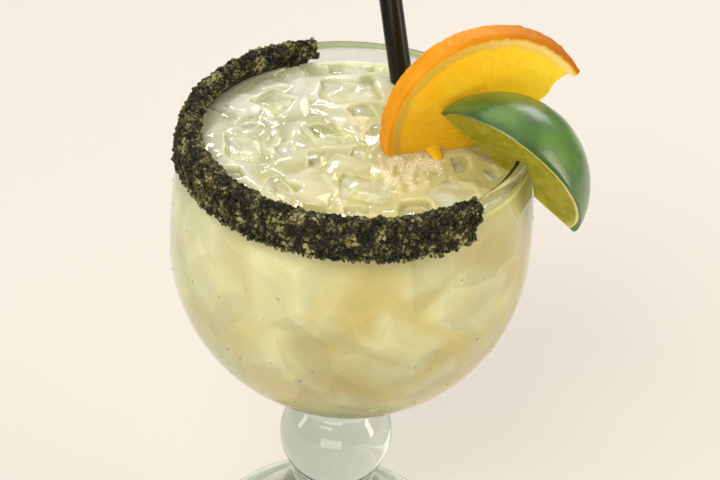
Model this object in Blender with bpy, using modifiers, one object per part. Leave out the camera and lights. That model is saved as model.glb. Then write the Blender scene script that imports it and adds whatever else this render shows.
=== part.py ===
# A margarita served in its thick goblet: cloudy drink with ice, a salted rim, a straw,
# a half wheel of orange standing in the drink and a lime wedge slit over the rim.
# Lengths are in millimetres and are turned to metres as the meshes are made.
# +Z is up, and the origin is the middle of the foot's flat underside.
import math
import random

import bmesh
import bpy
from mathutils import Matrix, Vector, noise

MM = 0.001
CLEARANCE = 0.3          # between two pieces that touch
TURN_STEPS = 40          # sides of every turned piece of the glass and the drink

# Bowl: a ball below its widest line, drawn in slightly towards the rim above it
BOWL_RADIUS = 56.0
BOWL_WIDEST_Z = 120.5
RIM_TOP_Z = 161.0
RIM_DRAWN_IN = 3.3
RIM_CURVE = 2.2
WALL = 4.5
RIM_WALL = 4.8
INNER_WIDEST_Z = 121.5

# Stem and foot
NECK_RADIUS = 12.6
NECK_Z = 62.2
KNOB_RADIUS = 18.2
KNOB_Z = 44.2
STEM_RADIUS = 13.6
STEM_Z = 28.0
FLARE_DEPTH = 19.5
FLARE_SPREAD = 0.17
FOOT_RADIUS = 38.4
FOOT_EDGE_HEIGHT = 3.2
FOOT_RIDGES = 3
RIDGE_HEIGHT = 0.45

# Drink and the ice that breaks its surface
DRINK_TOP_Z = 154.0
ICE_EDGE_ROUNDING = 3.2
# name, middle (x, y), sides, turn about Z and tilts about X and Y in degrees, top
ICE_BLOCKS = [
    ("ice_back", (-3.5, 32.0), (23, 18, 19), (8, 9, -4), 156.0),
    ("ice_back_left", (-27.0, 21.5), (18, 20, 18), (-38, -5, 8), 155.9),
    ("ice_left", (-34.5, -5.5), (18, 21, 18), (9, 5, 8), 155.8),
    ("ice_middle", (-9.5, 6.0), (19, 19, 18), (24, -9, 6), 155.9),
    ("ice_front_left", (-21.5, -27.0), (20, 18, 19), (-36, 8, 5), 155.9),
    ("ice_front", (3.0, -23.0), (22, 20, 18), (-14, 9, -6), 155.7),
    ("ice_front_right", (29.0, -22.5), (19, 19, 18), (-38, -6, -8), 156.0),
    ("ice_back_right", (27.0, 27.0), (18, 17, 17), (45, 6, 5), 155.9),
]

# Salt crust: a ring that is broken between its two ends, counter-clockwise from the back
SALT_START = 108.0
SALT_END = 316.0
SALT_STEP = 3.0
SALT_INSIDE_Z = 156.8
SALT_OUTSIDE_Z = 149.6
SALT_THICK_INSIDE = 1.1
SALT_THICK_TOP = 1.4
SALT_THICK_OUTSIDE = 1.6
SALT_LUMP = 0.9
SALT_LEAST = 0.35
SALT_GAP = 0.4
CRYSTAL_COUNT = 84
CRYSTAL_SIZE = (1.4, 2.1)
CRYSTAL_MARGIN = 4.0
GOLDEN_SHARE = 0.618034

# Straw
STRAW_RADIUS = 3.6
STRAW_WALL = 0.5
STRAW_LENGTH = 195.0
STRAW_AT = (10.9, 40.7, 163.0)
STRAW_LEAN = (-0.21, 0.20)     # run along X and Y for each unit of rise
STRAW_FOOT_Z = 92.0

# Orange half wheel: it stands on its cut edge's lower end, turned and tipped in its own plane
ORANGE_RADIUS = 33.4
ORANGE_THICK = 7.5
ORANGE_AT = (39.8, 7.1, 159.0)
ORANGE_TURN = 20.2
ORANGE_LEAN = 1.6
ORANGE_TIP = 34.2
ORANGE_CUT = -2.0
ORANGE_SEGMENTS = 11
FACETS_PER_SEGMENT = 4
PEEL_THICK = 3.4
PEEL_ROUNDING = 0.9
FLESH_SUNK = 0.5

# Lime wedge: its long axis points outwards and down, with the core line lowest
LIME_HALF_LENGTH = 26.2
LIME_RADIUS = 23.6
LIME_AT = (45.9, -5.6, 152.4)
LIME_TURN = -10.5
LIME_DIP = 37.5
LIME_NEAR_CUT = 36.0
LIME_FAR_CUT = -33.0
LIME_TIP = 1.7
SLIT_FOOT_Z = 135.0


def new_collection(name):
    collection = bpy.data.collections.new(name)
    bpy.context.scene.collection.children.link(collection)
    return collection


def new_material(name, colour, roughness, metallic=0.0, transmission=0.0):
    material = bpy.data.materials.new(name)
    material.use_nodes = True
    shader = material.node_tree.nodes["Principled BSDF"]
    shader.inputs["Base Color"].default_value = (*colour, 1.0)
    shader.inputs["Roughness"].default_value = roughness
    shader.inputs["Metallic"].default_value = metallic
    shader.inputs["Transmission Weight"].default_value = transmission
    return material


def add_object(name, mesh, collection, material=None):
    thing = bpy.data.objects.new(name, mesh)
    collection.objects.link(thing)
    if material:
        mesh.materials.append(material)
    return thing


def mark_as_cutter(thing):
    thing.hide_render = True
    thing.display_type = "WIRE"


def shade(thing, angle=40.0):
    thing.data.shade_smooth()
    thing.data.set_sharp_from_angle(angle=math.radians(angle))


def mesh_from_bmesh(name, shape):
    mesh = bpy.data.meshes.new(name)
    shape.to_mesh(mesh)
    shape.free()
    return mesh


def turned(name, profile, collection, material=None, closed=False, steps=TURN_STEPS):
    # The profile is a list of (radius, height) that runs down its outer side
    points = [(r * MM, 0.0, z * MM) for r, z in profile]
    edges = [(i, i + 1) for i in range(len(points) - 1)]
    if closed:
        edges.append((len(points) - 1, 0))
    mesh = bpy.data.meshes.new(name)
    mesh.from_pydata(points, edges, [])
    thing = add_object(name, mesh, collection, material)
    screw = thing.modifiers.new("Turn", "SCREW")
    screw.axis = "Z"
    screw.angle = math.tau
    screw.steps = steps
    screw.render_steps = steps
    screw.use_merge_vertices = True
    screw.merge_threshold = 0.00001
    screw.use_smooth_shade = True
    return thing


def apply_modifiers(thing):
    graph = bpy.context.evaluated_depsgraph_get()
    mesh = bpy.data.meshes.new_from_object(thing.evaluated_get(graph))
    thing.modifiers.clear()
    thing.data = mesh


def spread(start, end, count):
    return [start + (end - start) * i / count for i in range(count + 1)]


# Bowl outlines

def bowl_outer(z):
    if z < BOWL_WIDEST_Z:
        return math.sqrt(BOWL_RADIUS ** 2 - (BOWL_WIDEST_Z - z) ** 2)
    rise = (z - BOWL_WIDEST_Z) / (RIM_TOP_Z - 0.5 - BOWL_WIDEST_Z)
    return BOWL_RADIUS - RIM_DRAWN_IN * rise ** RIM_CURVE


def bowl_inner(z):
    inner_radius = BOWL_RADIUS - WALL
    if z < INNER_WIDEST_Z:
        return math.sqrt(inner_radius ** 2 - (INNER_WIDEST_Z - z) ** 2)
    rise = (z - INNER_WIDEST_Z) / (RIM_TOP_Z - INNER_WIDEST_Z)
    return bowl_outer(z) - WALL - (RIM_WALL - WALL) * rise


def lip_centre():
    z = RIM_TOP_Z - RIM_WALL / 2
    return bowl_outer(z) - RIM_WALL / 2, z


def inner_wall(offset, top_z, side_points=2, ball_points=8):
    # From the top of the wall down to the middle of the bottom, drawn in by the offset
    side = [(bowl_inner(z) - offset, z) for z in spread(top_z, INNER_WIDEST_Z, side_points)]
    radius = BOWL_RADIUS - WALL - offset
    ball = []
    for i in range(1, ball_points + 1):
        angle = math.pi / 2 * (1 - i / ball_points)
        ball.append((radius * math.sin(angle), INNER_WIDEST_Z - radius * math.cos(angle)))
    return side + ball


def lip_arc(offset, start, end, count):
    r, z = lip_centre()
    reach = RIM_WALL / 2 + offset
    angles = [math.radians(a) for a in spread(start, end, count)]
    return [(r + reach * math.cos(a), z + reach * math.sin(a)) for a in angles]


def outer_bowl(side_points=3, ball_points=8):
    top = lip_centre()[1]
    heights = spread(top, BOWL_WIDEST_Z, side_points)[1:]
    side = [(bowl_outer(z), z) for z in heights]
    ball = []
    last = math.radians(15)
    for angle in spread(math.pi / 2, last, ball_points)[1:]:
        ball.append((BOWL_RADIUS * math.sin(angle), BOWL_WIDEST_Z - BOWL_RADIUS * math.cos(angle)))
    return side + ball


def stem():
    neck = [(NECK_RADIUS + 0.4, NECK_Z + 2.4), (NECK_RADIUS, NECK_Z)]
    knob = []
    for degrees in spread(46, 131, 6):
        angle = math.radians(degrees)
        knob.append((KNOB_RADIUS * math.sin(angle), KNOB_Z + KNOB_RADIUS * math.cos(angle)))
    flare = []
    for drop in spread(0.0, FLARE_DEPTH, 5):
        flare.append((STEM_RADIUS + FLARE_SPREAD * drop ** 1.5, STEM_Z - drop))
    return neck + knob + flare


def foot(start):
    # Sloping top with rounded ridges, a rounded edge and a flat underside
    start_r, start_z = start
    end_r = FOOT_RADIUS - FOOT_EDGE_HEIGHT / 2
    points = []
    count = FOOT_RIDGES * 3
    for i in range(1, count + 1):
        t = i / count
        ridge = RIDGE_HEIGHT * math.sin(math.tau * FOOT_RIDGES * t)
        points.append((start_r + (end_r - start_r) * t,
                       start_z + (FOOT_EDGE_HEIGHT - start_z) * t + ridge))
    edge = FOOT_EDGE_HEIGHT / 2
    for degrees in (50, 0, -50):
        angle = math.radians(degrees)
        points.append((FOOT_RADIUS - edge + edge * math.cos(angle), edge + edge * math.sin(angle)))
    points.append((FOOT_RADIUS - edge, 0.0))
    points.append((0.0, 0.0))
    return points


def build_glass(parts):
    glass = new_material("clear_glass", (0.82, 0.87, 0.84), 0.05, transmission=0.9)
    inside = inner_wall(0.0, lip_centre()[1])
    inside.reverse()
    lip = lip_arc(0.0, 180, 0, 4)[1:]
    stem_points = stem()
    profile = inside + lip + outer_bowl() + stem_points + foot(stem_points[-1])
    goblet = turned("glass", profile, parts, glass)
    apply_modifiers(goblet)
    shade(goblet)


# Ice

def ice_block(name, middle, sides, turns, top_z, collection, grow=0.0, material=None):
    shape = bmesh.new()
    bmesh.ops.create_cube(shape, size=1.0)
    rng = random.Random(name)
    for vertex in shape.verts:
        # Melted blocks are uneven, so each corner is drawn in by its own amount
        for axis in range(3):
            half = sides[axis] / 2 - rng.uniform(0.0, 1.6)
            vertex.co[axis] = math.copysign(half + grow, vertex.co[axis]) * MM
    turn = Matrix.Rotation(math.radians(turns[0]), 4, "Z")
    turn = turn @ Matrix.Rotation(math.radians(turns[1]), 4, "X")
    turn = turn @ Matrix.Rotation(math.radians(turns[2]), 4, "Y")
    bmesh.ops.transform(shape, matrix=turn, verts=shape.verts)
    # Rounding the corners lowers the block's top by as much as its axes lean
    rounding = ICE_EDGE_ROUNDING + grow
    lowered = rounding * (sum(abs(turn[2][axis]) for axis in range(3)) - 1.0)
    highest = max(vertex.co.z for vertex in shape.verts)
    lift = (top_z + grow + lowered) * MM - highest
    bmesh.ops.translate(shape, vec=(middle[0] * MM, middle[1] * MM, lift), verts=shape.verts)
    thing = add_object(name, mesh_from_bmesh(name, shape), collection, material)
    bevel = thing.modifiers.new("Melted edges", "BEVEL")
    bevel.width = rounding * MM
    bevel.segments = 2
    bevel.limit_method = "NONE"
    return thing


def build_ice(parts, pockets):
    clear = new_material("clear_ice", (0.86, 0.9, 0.84), 0.08, transmission=0.8)
    for name, middle, sides, turns, top_z in ICE_BLOCKS:
        block = ice_block(name, middle, sides, turns, top_z, parts, material=clear)
        block.data.shade_smooth()
        pocket = ice_block(name, middle, sides, turns, top_z, pockets, grow=CLEARANCE)
        pocket.name = "pocket_" + name
        mark_as_cutter(pocket)


# Straw

def straw_matrix():
    rise = Vector((STRAW_LEAN[0], STRAW_LEAN[1], 1.0)).normalized()
    at = Vector(STRAW_AT)
    at = at + rise * ((STRAW_FOOT_Z - at.z) / rise.z)
    turn = rise.to_track_quat("Z", "Y").to_matrix().to_4x4()
    return Matrix.Translation(at * MM) @ turn


def build_straw(parts, pockets):
    black = new_material("black_plastic", (0.012, 0.011, 0.012), 0.25)
    bore = STRAW_RADIUS - STRAW_WALL
    tube = [(bore, 0.0), (bore, STRAW_LENGTH), (STRAW_RADIUS, STRAW_LENGTH), (STRAW_RADIUS, 0.0)]
    straw = turned("straw", tube, parts, black, closed=True, steps=20)
    straw.matrix_world = straw_matrix()
    reach = STRAW_RADIUS + CLEARANCE
    core = [(0.0, STRAW_LENGTH), (reach, STRAW_LENGTH), (reach, -CLEARANCE), (0.0, -CLEARANCE)]
    pocket = turned("pocket_straw", core, pockets, steps=20)
    pocket.matrix_world = straw_matrix()
    mark_as_cutter(pocket)


# Orange

def orange_matrix():
    # Local X runs along the wheel's cut edge, local Y towards its peel, local Z to the front
    turn = Matrix.Rotation(math.radians(ORANGE_TURN), 4, "Z")
    stand = Matrix.Rotation(math.radians(90 - ORANGE_LEAN), 4, "X")
    tip = Matrix.Rotation(math.radians(ORANGE_TIP), 4, "Z")
    return Matrix.Translation(Vector(ORANGE_AT) * MM) @ turn @ stand @ tip


def orange_profile(grow):
    # Half section of the wheel, from the middle of its front face to that of its back face
    radius = ORANGE_RADIUS + grow
    front = grow
    back = -ORANGE_THICK - grow
    peel = [(radius - PEEL_ROUNDING, front), (radius, front - PEEL_ROUNDING),
            (radius, back + PEEL_ROUNDING), (radius - PEEL_ROUNDING, back)]
    if grow:
        return [(0.0, front)] + peel + [(0.0, back)]
    flesh = ORANGE_RADIUS - PEEL_THICK
    sunk_radii = (0.0, flesh * 0.2, flesh * 0.6, flesh - 1.8)
    front_flesh = [(r, -FLESH_SUNK) for r in sunk_radii] + [(flesh, 0.0)]
    back_flesh = [(flesh, back)] + [(r, back + FLESH_SUNK) for r in reversed(sunk_radii)]
    return front_flesh + peel + back_flesh


def cut_half_wheel(thing, cut):
    # Keep what lies above the cut, and close the cut
    apply_modifiers(thing)
    shape = bmesh.new()
    shape.from_mesh(thing.data)
    everything = shape.verts[:] + shape.edges[:] + shape.faces[:]
    made = bmesh.ops.bisect_plane(shape, geom=everything, plane_co=(0.0, cut * MM, 0.0),
                                  plane_no=(0.0, -1.0, 0.0), clear_outer=True, dist=0.000001)
    edges = [item for item in made["geom_cut"] if isinstance(item, bmesh.types.BMEdge)]
    bmesh.ops.contextual_create(shape, geom=edges)
    bmesh.ops.recalc_face_normals(shape, faces=shape.faces)
    shape.to_mesh(thing.data)
    shape.free()


def raise_membranes(thing):
    # The thin walls between the segments stand level with the pith
    per_segment = math.tau / ORANGE_SEGMENTS
    flesh = (ORANGE_RADIUS - PEEL_THICK) * MM
    for vertex in thing.data.vertices:
        r = math.hypot(vertex.co.x, vertex.co.y)
        turns = math.atan2(vertex.co.y, vertex.co.x) / per_segment + 0.25
        if 0.1 * flesh < r < flesh and abs(turns - round(turns)) < 0.1:
            front = vertex.co.z > -ORANGE_THICK * MM / 2
            vertex.co.z = 0.0 if front else -ORANGE_THICK * MM


def build_orange(parts, pockets):
    flesh = new_material("orange_flesh", (0.82, 0.42, 0.02), 0.35)
    orange = turned("orange_slice", orange_profile(0.0), parts, flesh,
                    steps=ORANGE_SEGMENTS * FACETS_PER_SEGMENT)
    cut_half_wheel(orange, ORANGE_CUT)
    raise_membranes(orange)
    shade(orange, 30)
    orange.matrix_world = orange_matrix()
    pocket = turned("pocket_orange", orange_profile(CLEARANCE), pockets,
                    steps=ORANGE_SEGMENTS * FACETS_PER_SEGMENT)
    cut_half_wheel(pocket, ORANGE_CUT - CLEARANCE)
    pocket.matrix_world = orange_matrix()
    mark_as_cutter(pocket)


# Lime

def lime_matrix():
    # Local X runs down and outwards along the lime's core, local Z up to the peel
    turn = Matrix.Rotation(math.radians(LIME_TURN), 4, "Z")
    dip = Matrix.Rotation(math.radians(LIME_DIP), 4, "Y")
    return Matrix.Translation(Vector(LIME_AT) * MM) @ turn @ dip


def lime_wedge(name, collection, grow=0.0, material=None):
    shape = bmesh.new()
    bmesh.ops.create_uvsphere(shape, u_segments=36, v_segments=18, radius=1.0,
                              matrix=Matrix.Rotation(math.pi / 2, 4, "Y"))
    length = LIME_HALF_LENGTH + grow
    radius = LIME_RADIUS + grow
    for vertex in shape.verts:
        along = vertex.co.x
        # The ends are drawn out to blunt tips
        drawn = length * along + math.copysign(LIME_TIP * abs(along) ** 8, along)
        vertex.co = Vector((drawn * MM, vertex.co.y * radius * MM, vertex.co.z * radius * MM))
    for degrees, side in ((LIME_NEAR_CUT, 1.0), (LIME_FAR_CUT, -1.0)):
        angle = math.radians(degrees)
        outwards = Vector((0.0, -math.cos(angle), -math.sin(angle))) * side
        everything = shape.verts[:] + shape.edges[:] + shape.faces[:]
        made = bmesh.ops.bisect_plane(shape, geom=everything, plane_co=outwards * grow * MM,
                                      plane_no=outwards, clear_outer=True, dist=0.000001)
        edges = [item for item in made["geom_cut"] if isinstance(item, bmesh.types.BMEdge)]
        bmesh.ops.contextual_create(shape, geom=edges)
    bmesh.ops.recalc_face_normals(shape, faces=shape.faces)
    thing = add_object(name, mesh_from_bmesh(name, shape), collection, material)
    thing.matrix_world = lime_matrix()
    return thing


def build_slit_cutter(cutters):
    # The glass wall with clearance round it, down to below the lime
    inner = [(bowl_inner(z) - CLEARANCE, z) for z in spread(SLIT_FOOT_Z, lip_centre()[1], 5)]
    outer = [(bowl_outer(z) + CLEARANCE, z) for z in spread(lip_centre()[1], SLIT_FOOT_Z, 5)]
    profile = inner + lip_arc(CLEARANCE, 180, 0, 6)[1:-1] + outer
    cutter = turned("cutter_slit", profile, cutters, closed=True)
    mark_as_cutter(cutter)
    return cutter


def build_lime(parts, pockets, cutters):
    peel = new_material("lime_peel", (0.13, 0.3, 0.06), 0.35)
    lime = lime_wedge("lime_wedge", parts, material=peel)
    slit = lime.modifiers.new("Slit", "BOOLEAN")
    slit.operation = "DIFFERENCE"
    slit.object = build_slit_cutter(cutters)
    shade(lime, 35)
    pocket = lime_wedge("pocket_lime", pockets, grow=CLEARANCE)
    mark_as_cutter(pocket)


# Drink

def build_drink(parts, pockets):
    cloudy = new_material("cloudy_drink", (0.72, 0.66, 0.36), 0.3)
    profile = [(0.0, DRINK_TOP_Z)] + inner_wall(CLEARANCE, DRINK_TOP_Z)
    drink = turned("drink", profile, parts, cloudy)
    cut = drink.modifiers.new("Pockets", "BOOLEAN")
    cut.operation = "DIFFERENCE"
    cut.operand_type = "COLLECTION"
    cut.collection = pockets
    apply_modifiers(drink)
    shade(drink)


# Salt crust

def salt_path(outside_points):
    # Along the wall's surface, from low inside, over the lip, to low outside
    inside = [(bowl_inner(SALT_INSIDE_Z) - SALT_GAP, SALT_INSIDE_Z)]
    heights = spread(lip_centre()[1], SALT_OUTSIDE_Z, outside_points)[1:]
    outside = [(bowl_outer(z) + SALT_GAP, z) for z in heights]
    return inside + lip_arc(SALT_GAP, 180, 0, 4) + outside


def across_and_out(start, end):
    # Direction along the path and the direction that points away from the glass
    along = Vector((end[0] - start[0], end[1] - start[1])).normalized()
    return along, Vector((-along.y, along.x))


def salt_thickness(share, azimuth):
    # Thin inside, thick outside, feathered at its two edges and its two ends
    if share < 0.3:
        thick = SALT_THICK_INSIDE + (SALT_THICK_TOP - SALT_THICK_INSIDE) * share / 0.3
    else:
        thick = SALT_THICK_TOP + (SALT_THICK_OUTSIDE - SALT_THICK_TOP) * (share - 0.3) / 0.7
    edge = min(1.0, 0.45 + 6.0 * min(share, 1.0 - share))
    end = min(azimuth - SALT_START, SALT_END - azimuth)
    return thick * edge * min(1.0, 0.4 + end / 8.0)


def salt_section(azimuth):
    angle = math.radians(azimuth)
    direction = Vector((math.cos(angle), math.sin(angle), 0.0))
    up = Vector((0.0, 0.0, 1.0))
    face = salt_path(outside_points=5)
    last = len(face) - 1
    ring = []
    for i, (r, z) in enumerate(face):
        out = across_and_out(face[max(0, i - 1)], face[min(last, i + 1)])[1]
        point = direction * r + up * z
        lump = SALT_LUMP * noise.noise(point * 0.62) + 0.5 * SALT_LUMP * noise.noise(point * 1.3)
        thick = max(SALT_LEAST, salt_thickness(i / last, azimuth) + lump)
        ring.append(point + (direction * out.x + up * out.y) * thick)
    # The lower outer edge wanders up and down
    ring[-1] -= up * SALT_LUMP * noise.noise(ring[-1] * 0.5)
    for r, z in reversed(salt_path(outside_points=1)):
        ring.append(direction * r + up * z)
    return ring


def salt_core(name, collection, material):
    shape = bmesh.new()
    count = round((SALT_END - SALT_START) / SALT_STEP)
    rings = []
    for azimuth in spread(SALT_START, SALT_END, count):
        rings.append([shape.verts.new(point * MM) for point in salt_section(azimuth)])
    size = len(rings[0])
    for first, second in zip(rings, rings[1:]):
        for i in range(size):
            j = (i + 1) % size
            shape.faces.new((first[i], first[j], second[j], second[i]))
    shape.faces.new(rings[0])
    shape.faces.new(list(reversed(rings[-1])))
    bmesh.ops.triangulate(shape, faces=shape.faces)
    bmesh.ops.recalc_face_normals(shape, faces=shape.faces)
    return add_object(name, mesh_from_bmesh(name, shape), collection, material)


def salt_crystals(collection):
    # Blocky crystals half sunk in the crust, spread evenly by the golden ratio
    rng = random.Random(7)
    face = salt_path(outside_points=5)
    last = len(face) - 1
    first_azimuth = SALT_START + CRYSTAL_MARGIN
    reach = SALT_END - CRYSTAL_MARGIN - first_azimuth
    for i in range(CRYSTAL_COUNT):
        azimuth = first_azimuth + reach * (i + 0.5) / CRYSTAL_COUNT
        place = 1.5 + (i * GOLDEN_SHARE) % 1.0 * (last - 2.2)
        low = int(place)
        along, out = across_and_out(face[low], face[low + 1])
        step = (Vector(face[low + 1]) - Vector(face[low])).length * (place - low)
        point = Vector(face[low]) + along * step + out * salt_thickness(place / last, azimuth)
        angle = math.radians(azimuth)
        at = Vector((point.x * math.cos(angle), point.x * math.sin(angle), point.y))
        axis = Vector((rng.random(), rng.random(), rng.random()))
        tilt = Matrix.Rotation(rng.uniform(0.3, 1.3), 4, axis)
        stretch = Matrix.Diagonal((1.0, rng.uniform(0.6, 1.0), rng.uniform(0.7, 1.1), 1.0))
        shape = bmesh.new()
        bmesh.ops.create_cube(shape, size=rng.uniform(*CRYSTAL_SIZE) * MM)
        matrix = Matrix.Translation(at * MM) @ tilt @ stretch
        bmesh.ops.transform(shape, matrix=matrix, verts=shape.verts)
        add_object("crystal", mesh_from_bmesh("crystal", shape), collection)


def build_salt(parts):
    black = new_material("black_salt", (0.03, 0.032, 0.022), 0.6)
    crust = salt_core("salt_rim", parts, black)
    crystals = new_collection("crystals")
    salt_crystals(crystals)
    fuse = crust.modifiers.new("Fuse crystals", "BOOLEAN")
    fuse.operation = "UNION"
    fuse.operand_type = "COLLECTION"
    fuse.collection = crystals
    fuse.solver = "MANIFOLD"
    apply_modifiers(crust)
    for crystal in list(crystals.objects):
        bpy.data.objects.remove(crystal)
    bpy.data.collections.remove(crystals)


def main():
    for thing in list(bpy.data.objects):
        bpy.data.objects.remove(thing)
    parts = new_collection("margarita")
    pockets = new_collection("pockets")
    cutters = new_collection("cutters")
    build_glass(parts)
    build_ice(parts, pockets)
    build_straw(parts, pockets)
    build_orange(parts, pockets)
    build_lime(parts, pockets, cutters)
    build_drink(parts, pockets)
    build_salt(parts)


main()
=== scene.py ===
# Margarita in a thick footed goblet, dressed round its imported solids.
# Lengths in the dictionaries are millimetres and degrees, and meshes are made in metres.
import math
import random

import bmesh
import bpy
import numpy as np
from mathutils import Matrix, Vector, noise


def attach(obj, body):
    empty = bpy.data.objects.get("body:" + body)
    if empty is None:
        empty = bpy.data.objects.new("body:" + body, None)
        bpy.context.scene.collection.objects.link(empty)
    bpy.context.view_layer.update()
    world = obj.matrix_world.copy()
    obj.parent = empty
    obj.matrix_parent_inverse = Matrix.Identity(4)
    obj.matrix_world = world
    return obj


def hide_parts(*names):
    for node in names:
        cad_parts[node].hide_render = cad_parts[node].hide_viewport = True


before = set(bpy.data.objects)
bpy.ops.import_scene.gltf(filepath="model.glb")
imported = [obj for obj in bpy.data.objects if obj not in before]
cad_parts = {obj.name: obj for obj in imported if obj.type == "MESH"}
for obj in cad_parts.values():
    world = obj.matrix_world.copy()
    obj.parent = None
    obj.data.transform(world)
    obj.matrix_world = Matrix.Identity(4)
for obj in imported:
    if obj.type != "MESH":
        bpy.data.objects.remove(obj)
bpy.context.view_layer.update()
mm = 0.001
goldenAngle = 2.399963


# Small tools for meshes and materials

def toLinear(hexColour, alpha=1.0):
    channels = [int(hexColour[i:i + 2], 16) / 255 for i in (1, 3, 5)]
    linear = [c / 12.92 if c <= 0.04045 else ((c + 0.055) / 1.055) ** 2.4 for c in channels]
    return (*linear, alpha)


def addNode(tree, kind, settings=None, links=None):
    # A setting is a property or a plain input. A link is a socket, a node that stands for its
    # first output, a number or a hex colour
    node = tree.nodes.new(kind)
    for name, value in (settings or {}).items():
        if isinstance(name, str) and hasattr(node, name):
            setattr(node, name, value)
        else:
            node.inputs[name].default_value = value
    for name, source in (links or {}).items():
        if isinstance(source, bpy.types.Node):
            source = source.outputs[0]
        if isinstance(source, bpy.types.NodeSocket):
            tree.links.new(source, node.inputs[name])
        else:
            node.inputs[name].default_value = toLinear(source) if isinstance(source, str) else source
    return node


def objectPlace(tree):
    return addNode(tree, "ShaderNodeTexCoord").outputs["Object"]


def splitPlace(tree, place):
    return addNode(tree, "ShaderNodeSeparateXYZ", None, {0: place}).outputs


def readAttribute(tree, name):
    return addNode(tree, "ShaderNodeAttribute", {"attribute_name": name}).outputs["Fac"]


def addNoise(tree, place, scale, detail=2.0, **more):
    return addNode(tree, "ShaderNodeTexNoise", {"Scale": scale, "Detail": detail, **more}, {"Vector": place})


def addCells(tree, place, scale):
    return addNode(tree, "ShaderNodeTexVoronoi", {"Scale": scale}, {"Vector": place})


def addRange(tree, source, given=(0.0, 1.0), wanted=(0.0, 1.0)):
    ends = {"From Min": given[0], "From Max": given[1], "To Min": wanted[0], "To Max": wanted[1]}
    return addNode(tree, "ShaderNodeMapRange", ends, {0: source})


def addMath(tree, operation, *values):
    return addNode(tree, "ShaderNodeMath", {"operation": operation}, dict(enumerate(values)))


def mixColours(tree, share, first, second):
    mix = addNode(tree, "ShaderNodeMix", {"data_type": "RGBA"}, {0: share, "A": first, "B": second})
    return mix.outputs[2]


def mixValues(tree, share, first, second):
    return addNode(tree, "ShaderNodeMix", {"data_type": "FLOAT"}, {0: share, 2: first, 3: second})


def addBump(tree, height, strength, distance):
    return addNode(tree, "ShaderNodeBump", {"Strength": strength, "Distance": distance}, {"Height": height})


def addRamp(tree, source, stops):
    node = addNode(tree, "ShaderNodeValToRGB", None, {0: source})
    elements = node.color_ramp.elements
    while len(elements) < len(stops):
        elements.new(0.5)
    for element, (position, colour) in zip(elements, stops):
        element.position = position
        element.color = toLinear(colour)
    return node


def addShader(tree, links):
    return addNode(tree, "ShaderNodeBsdfPrincipled", None, links)


def newMaterial(name):
    material = bpy.data.materials.new(name)
    material.use_nodes = True
    material.node_tree.nodes.clear()
    return material, material.node_tree


def finishMaterial(tree, links):
    addNode(tree, "ShaderNodeOutputMaterial", None, {"Surface": addShader(tree, links)})


def letLampsThrough(tree, shader, tint, depthTint=None):
    # Lamps shine through clear solids without caustics: shadow rays meet a plain tinted film
    path = addNode(tree, "ShaderNodeLightPath").outputs["Is Shadow Ray"]
    film = addNode(tree, "ShaderNodeBsdfTransparent", None, {"Color": tint})
    mix = addNode(tree, "ShaderNodeMixShader", None, {0: path, 1: shader, 2: film})
    output = addNode(tree, "ShaderNodeOutputMaterial", None, {"Surface": mix})
    if depthTint:
        thick = addNode(tree, "ShaderNodeVolumeAbsorption", None,
                        {"Color": depthTint[0], "Density": depthTint[1]})
        tree.links.new(thick.outputs[0], output.inputs["Volume"])


def makePiece(name, points, faces, material=None, smooth=True):
    mesh = bpy.data.meshes.new(name)
    mesh.from_pydata([tuple(p) for p in points], [], faces)
    mesh.validate()
    if smooth:
        mesh.shade_smooth()
    piece = bpy.data.objects.new(name, mesh)
    bpy.context.scene.collection.objects.link(piece)
    if material:
        mesh.materials.append(material)
    return piece


def addAttribute(piece, name, values):
    attribute = piece.data.attributes.new(name, "FLOAT", "POINT")
    attribute.data.foreach_set("value", np.asarray(values, dtype=np.float32))


def fixNormals(piece):
    shape = bmesh.new()
    shape.from_mesh(piece.data)
    bmesh.ops.remove_doubles(shape, verts=shape.verts, dist=1e-7)
    bmesh.ops.recalc_face_normals(shape, faces=shape.faces)
    shape.to_mesh(piece.data)
    shape.free()


def applyModifiers(piece):
    graph = bpy.context.evaluated_depsgraph_get()
    mesh = bpy.data.meshes.new_from_object(piece.evaluated_get(graph))
    piece.modifiers.clear()
    piece.data = mesh


def dress(piece, nodeName=None):
    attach(piece, "root")
    if nodeName:
        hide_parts(nodeName)


def onCircle(radius, degrees):
    return radius * math.cos(math.radians(degrees)), radius * math.sin(math.radians(degrees))


def turnProfile(profile, steps):
    # Turns (radius, height) points about Z; a point on the axis becomes one pole
    points, faces, rings = [], [], []
    for r, z in profile:
        if r < 1e-6:
            rings.append([len(points)])
            points.append((0.0, 0.0, z * mm))
            continue
        rings.append(list(range(len(points), len(points) + steps)))
        for i in range(steps):
            a = math.tau * i / steps
            points.append((r * math.cos(a) * mm, r * math.sin(a) * mm, z * mm))
    for first, second in zip(rings, rings[1:]):
        for i in range(steps):
            j = (i + 1) % steps
            if len(first) == 1:
                faces.append((first[0], second[i], second[j]))
            elif len(second) == 1:
                faces.append((first[i], second[0], first[j]))
            else:
                faces.append((first[i], second[i], second[j], first[j]))
    return points, faces


def joinRows(first, second):
    return [(first[k], first[k + 1], second[k + 1], second[k]) for k in range(len(first) - 1)]


def gridFaces(rows, columns, closed=False):
    # Faces between neighbouring rows of points; a closed row meets its own start
    lines = [list(range(k * columns, (k + 1) * columns)) for k in range(rows)]
    if closed:
        lines = [line + line[:1] for line in lines]
    return [face for first, second in zip(lines, lines[1:]) for face in joinRows(first, second)]


def cutCorners(points, rounds):
    # Rounds a polyline by cutting its corners, and keeps its two ends
    for _ in range(rounds):
        finer = [points[0]]
        for (r0, z0), (r1, z1) in zip(points, points[1:]):
            finer.append((r0 * 0.75 + r1 * 0.25, z0 * 0.75 + z1 * 0.25))
            finer.append((r0 * 0.25 + r1 * 0.75, z0 * 0.25 + z1 * 0.75))
        points = finer + [points[-1]]
    return points


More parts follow.
